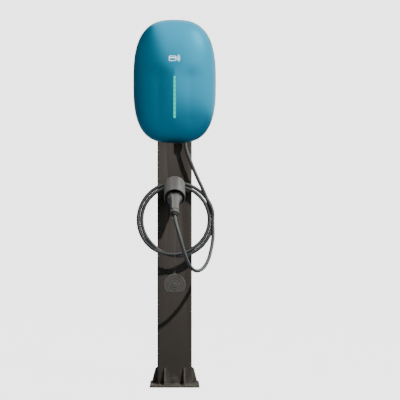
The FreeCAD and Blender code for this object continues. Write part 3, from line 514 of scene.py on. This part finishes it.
# ---- repeated shapes
def geometry_tree(name, sockets):
    """A Geometry Nodes tree with named inputs: its group, and a maker of its nodes."""
    tree = bpy.data.node_groups.new(name, "GeometryNodeTree")
    tree.interface.new_socket("Geometry", in_out="INPUT", socket_type="NodeSocketGeometry")
    for label, kind in sockets:
        tree.interface.new_socket(label, in_out="INPUT", socket_type="NodeSocket" + kind)
    tree.interface.new_socket("Geometry", in_out="OUTPUT", socket_type="NodeSocketGeometry")
    given = tree.nodes.new("NodeGroupInput").outputs

    def make(kind, settings=(), inputs=()):
        return new_node(tree, kind, settings, inputs)

    return tree, given, make


def end_tree(tree, make, geometry, material):
    """Every tree ends the same way: real mesh, smooth, with its material."""
    real = make("GeometryNodeRealizeInstances", (), {"Geometry": geometry})
    smoothed = make("GeometryNodeSetShadeSmooth", (), {
        "Geometry": real.outputs[0], "Shade Smooth": True})
    painted = make("GeometryNodeSetMaterial", (), {
        "Geometry": smoothed.outputs[0], "Material": material})
    out = tree.nodes.new("NodeGroupOutput")
    tree.links.new(painted.outputs[0], out.inputs[0])


def grown(name, mesh, tree, values, slot_name, body, *replaced, degrees=40.0):
    """Run a tree on a mesh and keep the result as one plain piece."""
    source = linked(name + "_source", mesh)
    modifier = source.modifiers.new("grow", "NODES")
    modifier.node_group = tree
    for item in tree.interface.items_tree:
        if item.in_out == "INPUT" and item.name in values:
            modifier[item.identifier] = values[item.name]
    graph = bpy.context.evaluated_depsgraph_get()
    result = bpy.data.meshes.new_from_object(source.evaluated_get(graph))
    bpy.data.objects.remove(source)
    smooth(result, degrees)
    return new_piece(name, result, slot_name, body, *replaced)


def weld_tree():
    """Overlapping ripples laid along edges, as a fillet weld has."""
    tree, given, make = geometry_tree(
        "weld_ripples", [("Pitch", "Float"), ("Leg", "Float"), ("Material", "Material")])
    run = make("GeometryNodeMeshToCurve", (), {"Mesh": given["Geometry"]})
    spots = make("GeometryNodeCurveToPoints", {"mode": "LENGTH"}, {
        "Curve": run.outputs[0], "Length": given["Pitch"]})
    ripple = make("GeometryNodeMeshUVSphere", (), {"Segments": 8, "Rings": 5, "Radius": 1.0})
    long = make("ShaderNodeMath", {"operation": "MULTIPLY"}, {0: given["Pitch"], 1: 1.15})
    size = make("ShaderNodeCombineXYZ", (), {
        "X": given["Leg"], "Y": given["Leg"], "Z": long.outputs[0]})
    laid = make("GeometryNodeInstanceOnPoints", (), {
        "Points": spots.outputs["Points"], "Instance": ripple.outputs[0],
        "Rotation": spots.outputs["Rotation"], "Scale": size.outputs[0]})
    end_tree(tree, make, laid.outputs[0], given["Material"])
    return tree


HEAD_SHARE = 0.55  # a screw head's height over the screw's size


def screw_tree():
    """Button-head screws with a hexagon socket, one on each point of a mesh."""
    tree, given, make = geometry_tree("button_screws", [
        ("Size", "Float"), ("Head radius", "Float"), ("Length", "Float"), ("Into", "Vector"),
        ("Material", "Material")])

    def times(value, factor):
        return make("ShaderNodeMath", {"operation": "MULTIPLY"}, {0: value, 1: factor}).outputs[0]

    def lifted(geometry, height):
        place = make("ShaderNodeCombineXYZ", (), {"Z": height}).outputs[0]
        moved = make("GeometryNodeTransform", (), {"Geometry": geometry, "Translation": place})
        return moved.outputs[0]

    height = times(given["Size"], HEAD_SHARE)
    ball = make("GeometryNodeMeshUVSphere", (), {"Segments": 28, "Rings": 14, "Radius": 1.0})
    scale = make("ShaderNodeCombineXYZ", (), {
        "X": given["Head radius"], "Y": given["Head radius"], "Z": times(height, 1.25)})
    dome = make("GeometryNodeTransform", (), {
        "Geometry": ball.outputs[0], "Scale": scale.outputs[0]})
    keep = make("GeometryNodeMeshCylinder", (), {
        "Vertices": 28, "Radius": times(given["Head radius"], 1.2), "Depth": height})
    head = make("GeometryNodeMeshBoolean", {"operation": "INTERSECT"})
    tree.links.new(dome.outputs[0], head.inputs["Mesh 2"])
    tree.links.new(lifted(keep.outputs["Mesh"], times(height, 0.5)), head.inputs["Mesh 2"])
    drill = make("GeometryNodeMeshCylinder", (), {
        "Vertices": 6, "Radius": times(given["Size"], 0.35), "Depth": height})
    socketed = make("GeometryNodeMeshBoolean", {"operation": "DIFFERENCE"}, {
        "Mesh 1": head.outputs[0]})
    tree.links.new(lifted(drill.outputs["Mesh"], times(height, 0.95)), socketed.inputs["Mesh 2"])
    shank = make("GeometryNodeMeshCylinder", (), {
        "Vertices": 16, "Radius": times(given["Size"], 0.5), "Depth": given["Length"]})
    joined = make("GeometryNodeJoinGeometry")
    tree.links.new(socketed.outputs[0], joined.inputs[0])
    tree.links.new(lifted(shank.outputs["Mesh"], times(given["Length"], -0.49)), joined.inputs[0])
    away = make("ShaderNodeVectorMath", {"operation": "SCALE"}, {0: given["Into"], "Scale": -1.0})
    turned = make("FunctionNodeAlignRotationToVector", {"axis": "Z"}, {"Vector": away.outputs[0]})
    placed = make("GeometryNodeInstanceOnPoints", (), {
        "Points": given["Geometry"], "Instance": joined.outputs[0],
        "Rotation": turned.outputs[0]})
    end_tree(tree, make, placed.outputs[0], given["Material"])
    return tree


def islands(node):
    """Lowest and highest corners of each separate solid of a CAD node, from left to right."""
    build = bmesh.new()
    build.from_mesh(frame["nodes"][node].data)
    bmesh.ops.remove_doubles(build, verts=build.verts, dist=MERGE_DISTANCE)
    left = set(build.verts)
    found = []
    while left:
        group, waiting = set(), [left.pop()]
        while waiting:
            vertex = waiting.pop()
            group.add(vertex)
            for link in vertex.link_edges:
                other = link.other_vert(vertex)
                if other in left:
                    left.remove(other)
                    waiting.append(other)
        low = Vector([min(v.co[i] for v in group) for i in range(3)])
        high = Vector([max(v.co[i] for v in group) for i in range(3)])
        found.append((low, high))
    build.free()
    return sorted(found, key=lambda corners: tuple(corners[0]))


def screws(name, node, size_mm, into_y, head_radius_mm=None):
    """Screws along Y in place of a CAD node's: into_y is -1 where they drive forwards."""
    size = size_mm * MM
    head = size * HEAD_SHARE
    seats, reach = [], 0.0
    for low, high in islands(node):
        seat_y = high.y - head if into_y < 0 else low.y + head
        seats.append(((low.x + high.x) / 2, seat_y, (low.z + high.z) / 2))
        reach = high.y - low.y - head
    mesh = bpy.data.meshes.new(name + "_seats")
    mesh.from_pydata(seats, [], [])
    head_radius = (head_radius_mm or size_mm * 0.95) * MM
    values = {"Size": size, "Head radius": head_radius, "Length": reach,
              "Into": (0.0, float(into_y), 0.0), "Material": finish_of(NODE_SLOTS[node])}
    return grown(name, mesh, TREES["screws"], values, NODE_SLOTS[node], NODE_BODY[node], node)


TREES = {}


# ---- pedestal
WELD_GAP = 0.006  # bare length at each end of a weld
RIB_TOE_SHARE, SIDE_RIB_TOE_SHARE = 0.18, 0.3  # where a foot's weld starts along its rib


def weld_lines():
    """Where ribs and column meet the plate and each other, as pairs of points."""
    plate = span("base_plate")[1].z
    lines = []
    for node in ("front_ribs", "rear_ribs"):
        for low, high in islands(node):
            face = high.y if node == "front_ribs" else low.y
            toe = low.y if node == "front_ribs" else high.y
            for x in (low.x, high.x):
                start = face + (toe - face) * RIB_TOE_SHARE
                lines.append(((x, face, plate + WELD_GAP), (x, face, high.z)))
                lines.append(((x, start, plate), (x, toe, plate)))
    for low, high in islands("side_ribs"):
        face, toe = (low.x, high.x) if low.x > 0 else (high.x, low.x)
        for y in (low.y, high.y):
            start = face + (toe - face) * SIDE_RIB_TOE_SHARE
            lines.append(((face, y, plate + WELD_GAP), (face, y, high.z)))
            lines.append(((start, y, plate), (toe, y, plate)))
    x, y = COLUMN_HIGH.x, COLUMN_HIGH.y
    for sign in (-1, 1):
        lines.append(((-x + WELD_GAP, sign * y, plate), (x - WELD_GAP, sign * y, plate)))
        lines.append(((sign * x, -y + WELD_GAP, plate), (sign * x, y - WELD_GAP, plate)))
    return lines


class POST_OT_pedestal(bpy.types.Operator):
    """Make the column, its foot and its caps, with their edges broken"""
    bl_idname = "post.pedestal"
    bl_label = "Pedestal"

    def execute(self, context):
        shapes = context.scene.post_shapes
        refined("base_plate", "pedestal_plate", 0.0009, segments=3)
        refined("column", "pedestal_column", 0.0004)
        for node in ("front_ribs", "rear_ribs", "side_ribs"):
            refined(node, "pedestal_" + node, 0.0007)
        refined("column_top_cap", "pedestal_top_cap", 0.0008)
        refined("service_cover", "pedestal_service_cover", 0.0005)
        points, edges = [], []
        for start, end in weld_lines():
            edges.append((len(points), len(points) + 1))
            points += [start, end]
        mesh = bpy.data.meshes.new("weld_lines")
        mesh.from_pydata(points, edges, [])
        values = {"Pitch": shapes.weld_pitch, "Leg": shapes.weld_size,
                  "Material": finish_of("column_coat")}
        grown("pedestal_welds", mesh, TREES["welds"], values, "column_coat", ROOT_BODY,
              degrees=80.0)
        carried("earth_stud")
        return {"FINISHED"}


class POST_OT_fasteners(bpy.types.Operator):
    """Make the straight rows of screws from one tree, and the cup's leaning ones"""
    bl_idname = "post.fasteners"
    bl_label = "Fasteners"

    def execute(self, context):
        screws("service_cover_fixings", "service_cover_screws", 4, -1)
        screws("bracket_fixings", "bracket_screws", 6, 1)
        screws("housing_fixings", "housing_screws", 5, 1)
        screws("cover_fixings", "cover_screws", 4, -1)
        screws("board_fixings", "board_screws", 3, 1)
        screws("terminal_fixings", "terminal_screws", 3.4, 1, 3.2)
        screws("holster_fixings", "holster_screws", 5, 1)
        refined("holster_cup_screws", "holster_cup_fixings", 0.0002)
        return {"FINISHED"}


# ---- wall box
TOP_POWER, BOTTOM_POWER, DOME_POWER = 2.75, 2.95, 2.3
RIM_Y = FRONT_Y - 60 * MM
TUCK = 3 * MM
ROOM = 0.0003  # gap round the light bar and the card mark


def outline_point(turn, scale, inset, y):
    """A point of the wall box's squared-off outline, scaled about its middle."""
    across, up = math.cos(turn), math.sin(turn)
    power = TOP_POWER if up > 0 else BOTTOM_POWER
    reach = (abs(across) ** power + abs(up) ** power) ** (-1 / power)
    return Vector(((COVER_HALF_WIDTH - inset) * scale * reach * across, y,
                   COVER_CENTRE_Z + (COVER_HALF_HEIGHT - inset) * scale * reach * up))


def soft_step(value, low, high):
    t = min(max((value - low) / (high - low), 0.0), 1.0)
    return t * t * (3 - 2 * t)


CREASE = 0.003  # softens the ridge's line
RIDGE_INNER, RIDGE_OUTER = 0.62, 1.55  # shares of the ridge's width
RIDGE_FOOT, RIDGE_HEAD = (0.012, 0.085), (-0.01, 0.05)  # above the cover's foot and the bar's top


def ridge_fall(point, shapes):
    """How far the dome falls back beside its upright ridge."""
    inner, outer = shapes.ridge_width * RIDGE_INNER, shapes.ridge_width * RIDGE_OUTER
    across = math.hypot(point.x, CREASE) - CREASE
    side = min(across / inner, 1.0)
    fade = 1 - soft_step(abs(point.x), inner, outer)
    upright = soft_step(point.z, *(COVER_LOW.z + reach for reach in RIDGE_FOOT))
    upright *= 1 - soft_step(point.z, *(BAR_HIGH.z + reach for reach in RIDGE_HEAD))
    return shapes.ridge_depth * side * fade * upright


DOME_COLUMNS, DOME_STEPS = 288, 56


def dome_ring(scale, inset, y):
    return [outline_point(2 * math.pi * i / DOME_COLUMNS, scale, inset, y)
            for i in range(DOME_COLUMNS)]


def dome_mesh(shapes):
    """The cover's outer skin: rings from its back edge to the crown."""
    rings = []
    for share in (1.0, 0.7, 0.35):
        tucked = TUCK * (1 - math.sqrt(1 - share ** 2))
        rings.append(dome_ring(1.0, tucked, RIM_Y + (COVER_BACK_Y - RIM_Y) * share))
    depth = RIM_Y - COVER_FRONT_Y
    for k in range(DOME_STEPS):
        lift = math.pi / 2 * (k / DOME_STEPS)
        scale = math.cos(lift) ** (2 / DOME_POWER)
        rings.append(dome_ring(scale, 0.0, RIM_Y - depth * math.sin(lift) ** (2 / DOME_POWER)))
    points, faces = bridged(rings, capped=False)
    for point in points:
        point.y += ridge_fall(point, shapes)
    crown = len(points)
    last = crown - DOME_COLUMNS
    points.append(Vector((0.0, COVER_FRONT_Y, COVER_CENTRE_Z)))
    for i in range(DOME_COLUMNS):
        faces.append((last + i, last + (i + 1) % DOME_COLUMNS, crown))
    return mesh_from("cover_dome", points, faces)


def face_outwards(mesh, inside):
    """Make an open shell's faces look away from a point inside it."""
    build = bmesh.new()
    build.from_mesh(mesh)
    bmesh.ops.recalc_face_normals(build, faces=build.faces)
    build.faces.ensure_lookup_table()
    face = build.faces[0]
    if face.normal.dot(face.calc_center_median() - inside) < 0:
        bmesh.ops.reverse_faces(build, faces=build.faces)
    build.to_mesh(mesh)
    build.free()


def slot_cutter(half, low, high, front, back, segments=14):
    """A round-ended upright bar that runs from front to back."""
    outline = []
    for centre, start in ((high - half, 0.0), (low + half, math.pi)):
        for i in range(segments + 1):
            turn = start + math.pi * i / segments
            outline.append((half * math.cos(turn), centre + half * math.sin(turn)))
    return mesh_from("slot", *bridged([[(x, y, z) for x, z in outline] for y in (front, back)]))


def cut(piece, *meshes):
    """Cut shapes out of a piece, one after another."""
    cutters = [linked("cutter", mesh) for mesh in meshes]
    for cutter in cutters:
        modifier = piece.modifiers.new("cut", "BOOLEAN")
        modifier.operation = "DIFFERENCE"
        modifier.solver = "EXACT"
        modifier.object = cutter
    baked(piece)
    for cutter in cutters:
        bpy.data.objects.remove(cutter)


class POST_OT_wall_box(bpy.types.Operator):
    """Make the wall box: bracket, back shell, seal, dome, light bar and card mark"""
    bl_idname = "post.wall_box"
    bl_label = "Wall box"

    def execute(self, context):
        shapes = context.scene.post_shapes
        refined("wall_bracket", "box_bracket", 0.0006)
        refined("rear_housing", "box_back_shell", 0.0006)
        refined("housing_gasket", "box_seal", 0.0)
        mesh = dome_mesh(shapes)
        face_outwards(mesh, Vector((0, COVER_BACK_Y, COVER_CENTRE_Z)))
        cover = new_piece("box_cover", mesh, "cover_teal", ROOT_BODY, "front_cover")
        wall = cover.modifiers.new("wall", "SOLIDIFY")
        wall.thickness = shapes.cover_wall
        wall.offset = -1
        mark = merged_copy("card_mark")
        mark.transform(Matrix.Translation((0, -ROOM, 0)))
        slot = slot_cutter(BAR_HIGH.x + ROOM, BAR_LOW.z - ROOM, BAR_HIGH.z + ROOM,
                           COVER_FRONT_Y - 0.02, RIM_Y)
        cut(cover, slot, mark)
        smooth(cover.data, 38.0)
        refined("light_bar", "box_light_bar", 0.0003)
        refined("card_mark", "box_card_mark", 0.0)
        return {"FINISHED"}


class POST_OT_electronics(bpy.types.Operator):
    """Finish the boards, relays, terminals and carrier inside the wall box"""
    bl_idname = "post.electronics"
    bl_label = "Electronics"

    def execute(self, context):
        refined("main_board", "inside_main_board", 0.0)
        refined("power_relays", "inside_relays", 0.0005)
        refined("residual_current_sensor", "inside_current_sensor", 0.0006)
        refined("supply_terminal_block", "inside_terminal_block", 0.0004)
        refined("front_carrier", "inside_carrier", 0.0004)
        refined("light_bar_board", "inside_lamp_board", 0.0)
        refined("card_antenna_board", "inside_antenna", 0.0)
        refined("supply_grommet", "inside_grommet", 0.0004)
        refined("cable_gland", "gland_body", 0.0005)
        refined("gland_nut", "gland_lock_nut", 0.0004)
        return {"FINISHED"}


# ---- holster and plug
class POST_OT_holster(bpy.types.Operator):
    """Make the holster cup, its socket and its bracket"""
    bl_idname = "post.holster"
    bl_label = "Holster"

    def execute(self, context):
        refined("holster_mount", "holster_bracket", 0.0008)
        refined("holster_cup", "holster_shell", 0.0)
        refined("holster_insert", "holster_socket", 0.0005)
        return {"FINISHED"}


CUP_LEAN, HANDLE_LEAN = 32.0, 49.0
MOUTH = (125.0, 652.0)
BEND_START, HEAD_RUN = 8.0, 30.0


def plug_axis(travel):
    """Lean and middle of the plug at a distance (mm) out of the cup's mouth."""
    lean, distance, height, gone = CUP_LEAN, *MOUTH, 0.0
    while gone < travel - 1e-6:
        step = min(1.0, travel - gone)
        share = min(max((gone - BEND_START) / (HEAD_RUN + BEND_START), 0), 1)
        lean = CUP_LEAN + (HANDLE_LEAN - CUP_LEAN) * share
        distance += step * math.cos(math.radians(lean))
        height -= step * math.sin(math.radians(lean))
        gone += step
    return lean, distance, height


# travel, half width, top flat's height, its half width, bottom depth
PLUG_SECTIONS = [
    (2.2, 26.2, 19.8, 11.6, 26.2), (8.5, 26.2, 19.8, 11.4, 26.2), (10.5, 25.2, 19.3, 11.2, 25.2),
    (12.5, 22.6, 18.7, 11.0, 23.0), (16.5, 19.6, 17.9, 10.6, 19.8), (22.0, 17.0, 16.9, 10.2, 17.4),
    (30.0, 15.3, 15.9, 9.8, 15.9), (42.0, 14.4, 15.0, 9.3, 14.9), (54.0, 14.2, 14.5, 9.0, 14.4),
    (64.6, 14.6, 14.5, 8.8, 14.5),
]


def plug_section(travel, width, top, strip, bottom):
    """One faceted ring: a flat on top, a wide bevel each side and a round belly."""
    lean, distance, height = plug_axis(travel)
    turn = math.radians(lean)
    half = [(strip, top), (width * 0.90, top * 0.46), (width, top * 0.08)]
    for degrees in (-18, -38, -58, -76):
        angle = math.radians(degrees)
        half.append((width * math.cos(angle), bottom * math.sin(angle)))
    ring = half + [(0.0, -bottom)] + [(-x, y) for x, y in reversed(half)]
    return [ahead(x, distance + up * math.sin(turn), height + up * math.cos(turn))
            for x, up in ring]


SEAM = 0.00008  # half the gap between the shell halves
PLUG_SCREW = 0.003
POCKET_RADIUS, POCKET_RUN = 0.0033, 0.03


def plug_half(name, node, side):
    """One shell half of the plug: the right one, side 1, has pockets for the screws."""
    mesh = mesh_from(name, *bridged([plug_section(*row) for row in PLUG_SECTIONS]))
    build = bmesh.new()
    build.from_mesh(mesh)
    everything = build.verts[:] + build.edges[:] + build.faces[:]
    parts = bmesh.ops.bisect_plane(build, geom=everything, plane_co=(side * SEAM, 0, 0),
                                   plane_no=(-side, 0, 0), clear_outer=True)
    rim = [item for item in parts["geom_cut"] if isinstance(item, bmesh.types.BMEdge)]
    bmesh.ops.contextual_create(build, geom=rim)
    bmesh.ops.recalc_face_normals(build, faces=build.faces)
    build.to_mesh(mesh)
    build.free()
    piece = new_piece(name, mesh, NODE_SLOTS[node], ROOT_BODY, node)
    rounded_edges(piece, 0.0009, 14, 3)
    if side > 0:
        pockets = []
        for low, high in islands("plug_screws"):
            middle = (low + high) / 2
            seat = high.x - PLUG_SCREW * HEAD_SHARE
            pockets.append(pocket(Vector((seat, middle.y, middle.z))))
        cut(piece, *pockets)
    smooth(piece.data, 24.0)
    return piece


def circle(radius, count):
    """Points round a circle, as pairs."""
    turns = [2 * math.pi * i / count for i in range(count)]
    return [(radius * math.cos(turn), radius * math.sin(turn)) for turn in turns]


def pocket(start):
    """A round bar that runs to the right from a point."""
    rim = circle(POCKET_RADIUS, 28)
    rings = [[start + Vector((x, a, b)) for a, b in rim] for x in (0.0, POCKET_RUN)]
    return mesh_from("pocket", *bridged(rings))


class POST_OT_plug(bpy.types.Operator):
    """Make the charging plug: nose, contacts, faceted shells, collar and boot"""
    bl_idname = "post.plug"
    bl_label = "Plug"

    def execute(self, context):
        plug_half("plug_half_right", "plug_shell_right", 1)
        plug_half("plug_half_left", "plug_shell_left", -1)
        refined("plug_nose", "plug_nose_body", 0.0004)
        refined("plug_contacts", "plug_contact_sleeves", 0.0002)
        refined("plug_screws", "plug_fixings", 0.0)
        refined("plug_collar", "plug_collar_ring", 0.0004)
        refined("plug_boot", "plug_cable_boot", 0.0006)
        refined("tether_band", "plug_tether_band", 0.0004)
        return {"FINISHED"}


# ---- cords
LEAD_IN_ROUTE = [
    (34.0, 34.0, 868.0), (34.2, 34.5, 843.0), (41.8, 35.5, 814.0), (53.0, 36.5, 785.0),
    (66.5, 37.0, 751.0), (80.5, 37.0, 719.0), (99.0, 36.0, 681.0), (117.5, 35.0, 636.0),
]
TAIL_ROUTE = [
    (131.0, 42.0, 573.0), (133.5, 51.0, 524.0), (126.5, 69.0, 478.0), (113.5, 95.0, 435.0),
    (93.5, 129.0, 408.5), (69.0, 166.0, 404.5), (47.5, 197.0, 426.5), (32.0, 213.0, 468.0),
    (20.0, 219.0, 512.0), (11.0, 216.0, 544.0), (4.0, 205.5, 567.5), (0.0, 192.8, 586.3),
    (0.0, 182.3, 598.4),
]
COIL_CENTRE = (3.0, 40.0, 579.0)
COIL_LEAN = 7.0
COIL_START, COIL_SWEEP, COIL_STEP = 27.0, 750.0, 15.0
FIRST_CROSS, SECOND_CROSS, CROSS_RUN = 130.0, 490.0, 42.0
LANE_SPREAD, CROSS_LIFT = 1.02, 1.05  # shares of the cable's radius
START_DIP, END_LIFT, END_WIDENING = 4.5, 7.0, 3.0


def hump(gone, middle):
    """1 at the middle of a crossing, 0 from its ends on."""
    return max(0.0, math.cos(min(abs(gone - middle) / CROSS_RUN, 1.0) * math.pi / 2)) ** 2


def coil_point(gone, shapes):
    """A control point of the coil after that many degrees clockwise, on an inner or outer lane."""
    half = shapes.cable_diameter / MM / 2
    lane = 1 - 2 * soft_step(gone, FIRST_CROSS - CROSS_RUN, FIRST_CROSS + CROSS_RUN)
    lane += 2 * soft_step(gone, SECOND_CROSS - CROSS_RUN, SECOND_CROSS + CROSS_RUN)
    radius = shapes.coil_radius / MM + half * LANE_SPREAD * lane
    lift = half * CROSS_LIFT * (hump(gone, SECOND_CROSS) - hump(gone, FIRST_CROSS))
    lift -= START_DIP * (1 - soft_step(gone, 10, 70))
    lift += END_LIFT * soft_step(gone, COIL_SWEEP - 75, COIL_SWEEP - 10)
    radius += END_WIDENING * soft_step(gone, COIL_SWEEP - 75, COIL_SWEEP)
    # a spline of order 3 passes inside its control points by this much
    radius /= 0.75 + 0.25 * math.cos(math.radians(COIL_STEP))
    turn, lean = math.radians(COIL_START - gone), math.radians(COIL_LEAN)
    up = radius * math.sin(turn)
    return (COIL_CENTRE[0] + radius * math.cos(turn),
            COIL_CENTRE[1] - up * math.sin(lean) + lift * math.cos(lean),
            COIL_CENTRE[2] + up * math.cos(lean) + lift * math.sin(lean))


def nurbs(name, points, diameter):
    """A smooth cord on one open spline whose control points are given in metres."""
    curve = bpy.data.curves.new(name, "CURVE")
    curve.dimensions = "3D"
    curve.bevel_depth = diameter / 2
    curve.bevel_resolution = 7
    curve.resolution_u = 10
    curve.use_fill_caps = True
    spline = curve.splines.new("NURBS")
    spline.points.add(len(points) - 1)
    for slot, point in zip(spline.points, points):
        slot.co = (*point, 1.0)
    spline.order_u = 3
    spline.use_endpoint_u = True
    return curve


def new_cord(name, points, diameter, slot_name, body, *replaced):
    """A finished cord along its points, riding on a body."""
    curve = nurbs(name, points, diameter)
    cord = linked(name, curve)
    curve.materials.append(finish_of(slot_name))
    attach(cord, body)
    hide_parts(*replaced)
    return cord


class POST_OT_cable(bpy.types.Operator):
    """Lay the charging cable from its gland, round the holster and up into the plug"""
    bl_idname = "post.cable"
    bl_label = "Charging cable"

    def execute(self, context):
        shapes = context.scene.post_shapes
        route = list(LEAD_IN_ROUTE)
        gone = COIL_STEP
        while gone < COIL_SWEEP - 1:
            route.append(coil_point(gone, shapes))
            gone += COIL_STEP
        route += TAIL_ROUTE
        points = [ahead(*point) for point in route]
        cable = new_cord("charging_cable", points, shapes.cable_diameter, "cable_jacket",
                         ROOT_BODY, "cable_lead_in", "cable_coil", "cable_tail")
        return {"FINISHED"}


class POST_OT_dust_cap(bpy.types.Operator):
    """Hang the dust cap on its lanyard, with the tether's link and eye"""
    bl_idname = "post.dust_cap"
    bl_label = "Dust cap"

    def execute(self, context):
        refined("tether_link", "tether_ring", 0.0)
        refined("lanyard_eye", "lanyard_ferrule", 0.0003)
        cap = refined("dust_cap", "rubber_dust_cap", 0.0005)
        low, high = span("cap_lanyard")
        x, y = (low.x + high.x) / 2, (low.y + high.y) / 2
        bottom = high.z - 0.1800
        points = [(x, y, high.z + (bottom - high.z) * i / 6) for i in range(7)]
        lanyard = new_cord("dust_cap_lanyard", points, 0.0026, NODE_SLOTS["cap_lanyard"],
                           CAP_BODY, "cap_lanyard")
        return {"FINISHED"}


# ---- stage
PAPER_GLOW = 4.6
STAGE_RADIUS, STAGE_HEIGHT, STAGE_SIDES = 7.5, 6.0, 64
WORLD_LIGHT = 0.05
LENS, SENSOR_WIDTH = 129.3, 36.0
SHIFT_X, SHIFT_Y = 0.0635, 0.0375
VIEW_DISTANCE, VIEW_HEIGHT = 5.0, 0.5948
# the wall box's pieces by the start of their names
SHADOW_FREE = ("box_", "inside_", "cover_fix", "board_fix", "housing_fix", "terminal_fix")


def paper(name):
    """Back-lit studio paper with a fine grain."""
    finish = Finish(name, (0.04, 0.04, 0.04), 0.9, specular=0.0)
    grain = finish.noise(900.0, 2.0).above(0.50, 0.04)
    finish.put("Emission Color", finish.mix(grain, (0.40, 0.40, 0.40), (1.0, 1.0, 1.0)))
    finish.put("Emission Strength", PAPER_GLOW)
    return finish.material


LOOK_AT = Vector((0.0, -0.10, 0.75))
KEYS = [
    # name, watts, size, azimuth right of the viewer, elevation, distance
    ("right_key", 470.0, 0.07, 34.0, 40.0, 4.2),
    ("left_key", 45.0, 0.40, -42.0, 46.0, 4.2),
    ("back_left_key", 170.0, 0.60, -140.0, 36.0, 4.2),
    ("back_right_key", 90.0, 0.60, 150.0, 36.0, 4.2),
]
PANELS = [
    # name, radiance, colour, middle, size across and along, the way it faces
    ("key_panel", 3.6, (1.0, 0.98, 0.93), (2.2, -2.3, 3.56), (1.6, 1.6), (-0.53, 0.53, -0.67)),
    ("ceiling_panel", 2.5, (0.93, 1.0, 0.95), (1.6, -2.05, 3.6), (5.6, 11.1), (0, 0, -1)),
    ("right_panel", 2.2, (0.93, 1.0, 0.95), (4.4, 0.2, 1.9), (15.6, 3.4), (-1, 0, 0)),
    ("front_panel", 2.2, (0.93, 1.0, 0.95), (2.3, -7.6, 1.9), (4.2, 3.4), (0, 1, 0)),
    ("left_panel", 0.20, (0.72, 0.86, 1.0), (-4.0, 0.2, 1.9), (15.6, 3.4), (1, 0, 0)),
    ("low_panel", 0.34, (0.72, 0.86, 1.0), (0.3, -1.0, 0.02), (9.0, 14.0), (0, 0, 1)),
]


def lamp(name, watts, size, place, facing):
    """A rectangular lamp that the camera doesn't see."""
    light = bpy.data.lights.new(name, "AREA")
    light.shape = "RECTANGLE"
    light.size, light.size_y = size
    light.energy = watts
    holder = linked(name, light)
    holder.location = place
    holder.rotation_euler = Vector(facing).to_track_quat("-Z", "Y").to_euler()
    holder.visible_camera = False
    return holder


def set_paper():
    """A round paper floor with a wall round it."""
    rim = circle(STAGE_RADIUS, STAGE_SIDES)
    floor = mesh_from("paper_floor", [(x, y, 0.0) for x, y in rim],
                      [tuple(range(STAGE_SIDES))], closed=False)
    rings = [[(x, y, z) for x, y in rim] for z in (0.0, STAGE_HEIGHT)]
    wall = mesh_from("paper_wall", *bridged(rings, capped=False), closed=False)
    wall.shade_smooth()
    for mesh in (floor, wall):
        mesh.materials.append(paper(mesh.name))
        sweep = linked(mesh.name, mesh)
        sweep.visible_diffuse = sweep.visible_glossy = sweep.visible_shadow = False


def set_lights():
    """Keys that shade the post, panels that only show as reflections, and a faint world."""
    scene = bpy.context.scene
    shade_free = bpy.data.collections.new("wall_box_casts_no_shadow")
    for piece in scene.objects:
        if piece.name.startswith(SHADOW_FREE):
            shade_free.objects.link(piece)
    for row in shade_free.collection_objects:
        row.light_linking.link_state = "EXCLUDE"
    for name, watts, size, azimuth, elevation, distance in KEYS:
        turn, rise = math.radians(azimuth), math.radians(elevation)
        away = Vector((math.sin(turn) * math.cos(rise), -math.cos(turn) * math.cos(rise),
                       math.sin(rise)))
        key = lamp(name, watts, (size, size), LOOK_AT + away * distance, -away)
        key.visible_glossy = False
        key.light_linking.blocker_collection = shade_free
    for name, radiance, tint, place, size, facing in PANELS:
        panel = lamp(name, radiance * math.pi * size[0] * size[1], size, place, facing)
        panel.visible_diffuse = False
        panel.data.color = tint
    scene.world = bpy.data.worlds.new("studio")
    scene.world.use_nodes = True
    background = scene.world.node_tree.nodes["Background"].inputs
    background["Color"].default_value = (1.0, 1.0, 1.0, 1.0)
    background["Strength"].default_value = WORLD_LIGHT


def set_camera():
    camera = bpy.data.cameras.new("view")
    camera.lens, camera.sensor_width = LENS, SENSOR_WIDTH
    camera.shift_x, camera.shift_y = SHIFT_X, SHIFT_Y
    camera.clip_end = 50.0
    viewer = linked("view", camera)
    viewer.location = (0.0, FRONT_Y - VIEW_DISTANCE, VIEW_HEIGHT)
    viewer.rotation_euler = (math.pi / 2, 0.0, 0.0)
    bpy.context.scene.camera = viewer


class POST_OT_stage(bpy.types.Operator):
    """Set the floor, the backdrop, the lights and the camera"""
    bl_idname = "post.stage"
    bl_label = "Stage"

    def execute(self, context):
        set_paper()
        set_lights()
        set_camera()
        return {"FINISHED"}


OPERATORS = (
    POST_OT_pedestal, POST_OT_wall_box, POST_OT_electronics, POST_OT_fasteners,
    POST_OT_holster, POST_OT_plug, POST_OT_cable, POST_OT_dust_cap, POST_OT_stage,
)


class POST_PT_panel(bpy.types.Panel):
    """Lists the post's pieces, colours and sizes"""
    bl_idname = "POST_PT_panel"
    bl_label = "Charging Post"
    bl_space_type = "VIEW_3D"
    bl_region_type = "UI"
    bl_category = "Charging Post"

    def draw(self, context):
        for group in (context.scene.post_finishes, context.scene.post_shapes):
            for key in group.__annotations__:
                self.layout.prop(group, key)
        for operator in OPERATORS:
            self.layout.operator(operator.bl_idname)


CLASSES = (PostFinishes, PostShapes, *OPERATORS, POST_PT_panel)


def register():
    for cls in CLASSES:
        bpy.utils.register_class(cls)
    bpy.types.Scene.post_finishes = bpy.props.PointerProperty(type=PostFinishes)
    bpy.types.Scene.post_shapes = bpy.props.PointerProperty(type=PostShapes)


def unregister():
    del bpy.types.Scene.post_shapes
    del bpy.types.Scene.post_finishes
    for cls in reversed(CLASSES):
        bpy.utils.unregister_class(cls)


def main():
    register()
    TREES["welds"] = weld_tree()
    TREES["screws"] = screw_tree()
    for operator in OPERATORS:
        group, name = operator.bl_idname.split(".")
        getattr(getattr(bpy.ops, group), name)()


if __name__ == "__main__":
    main()
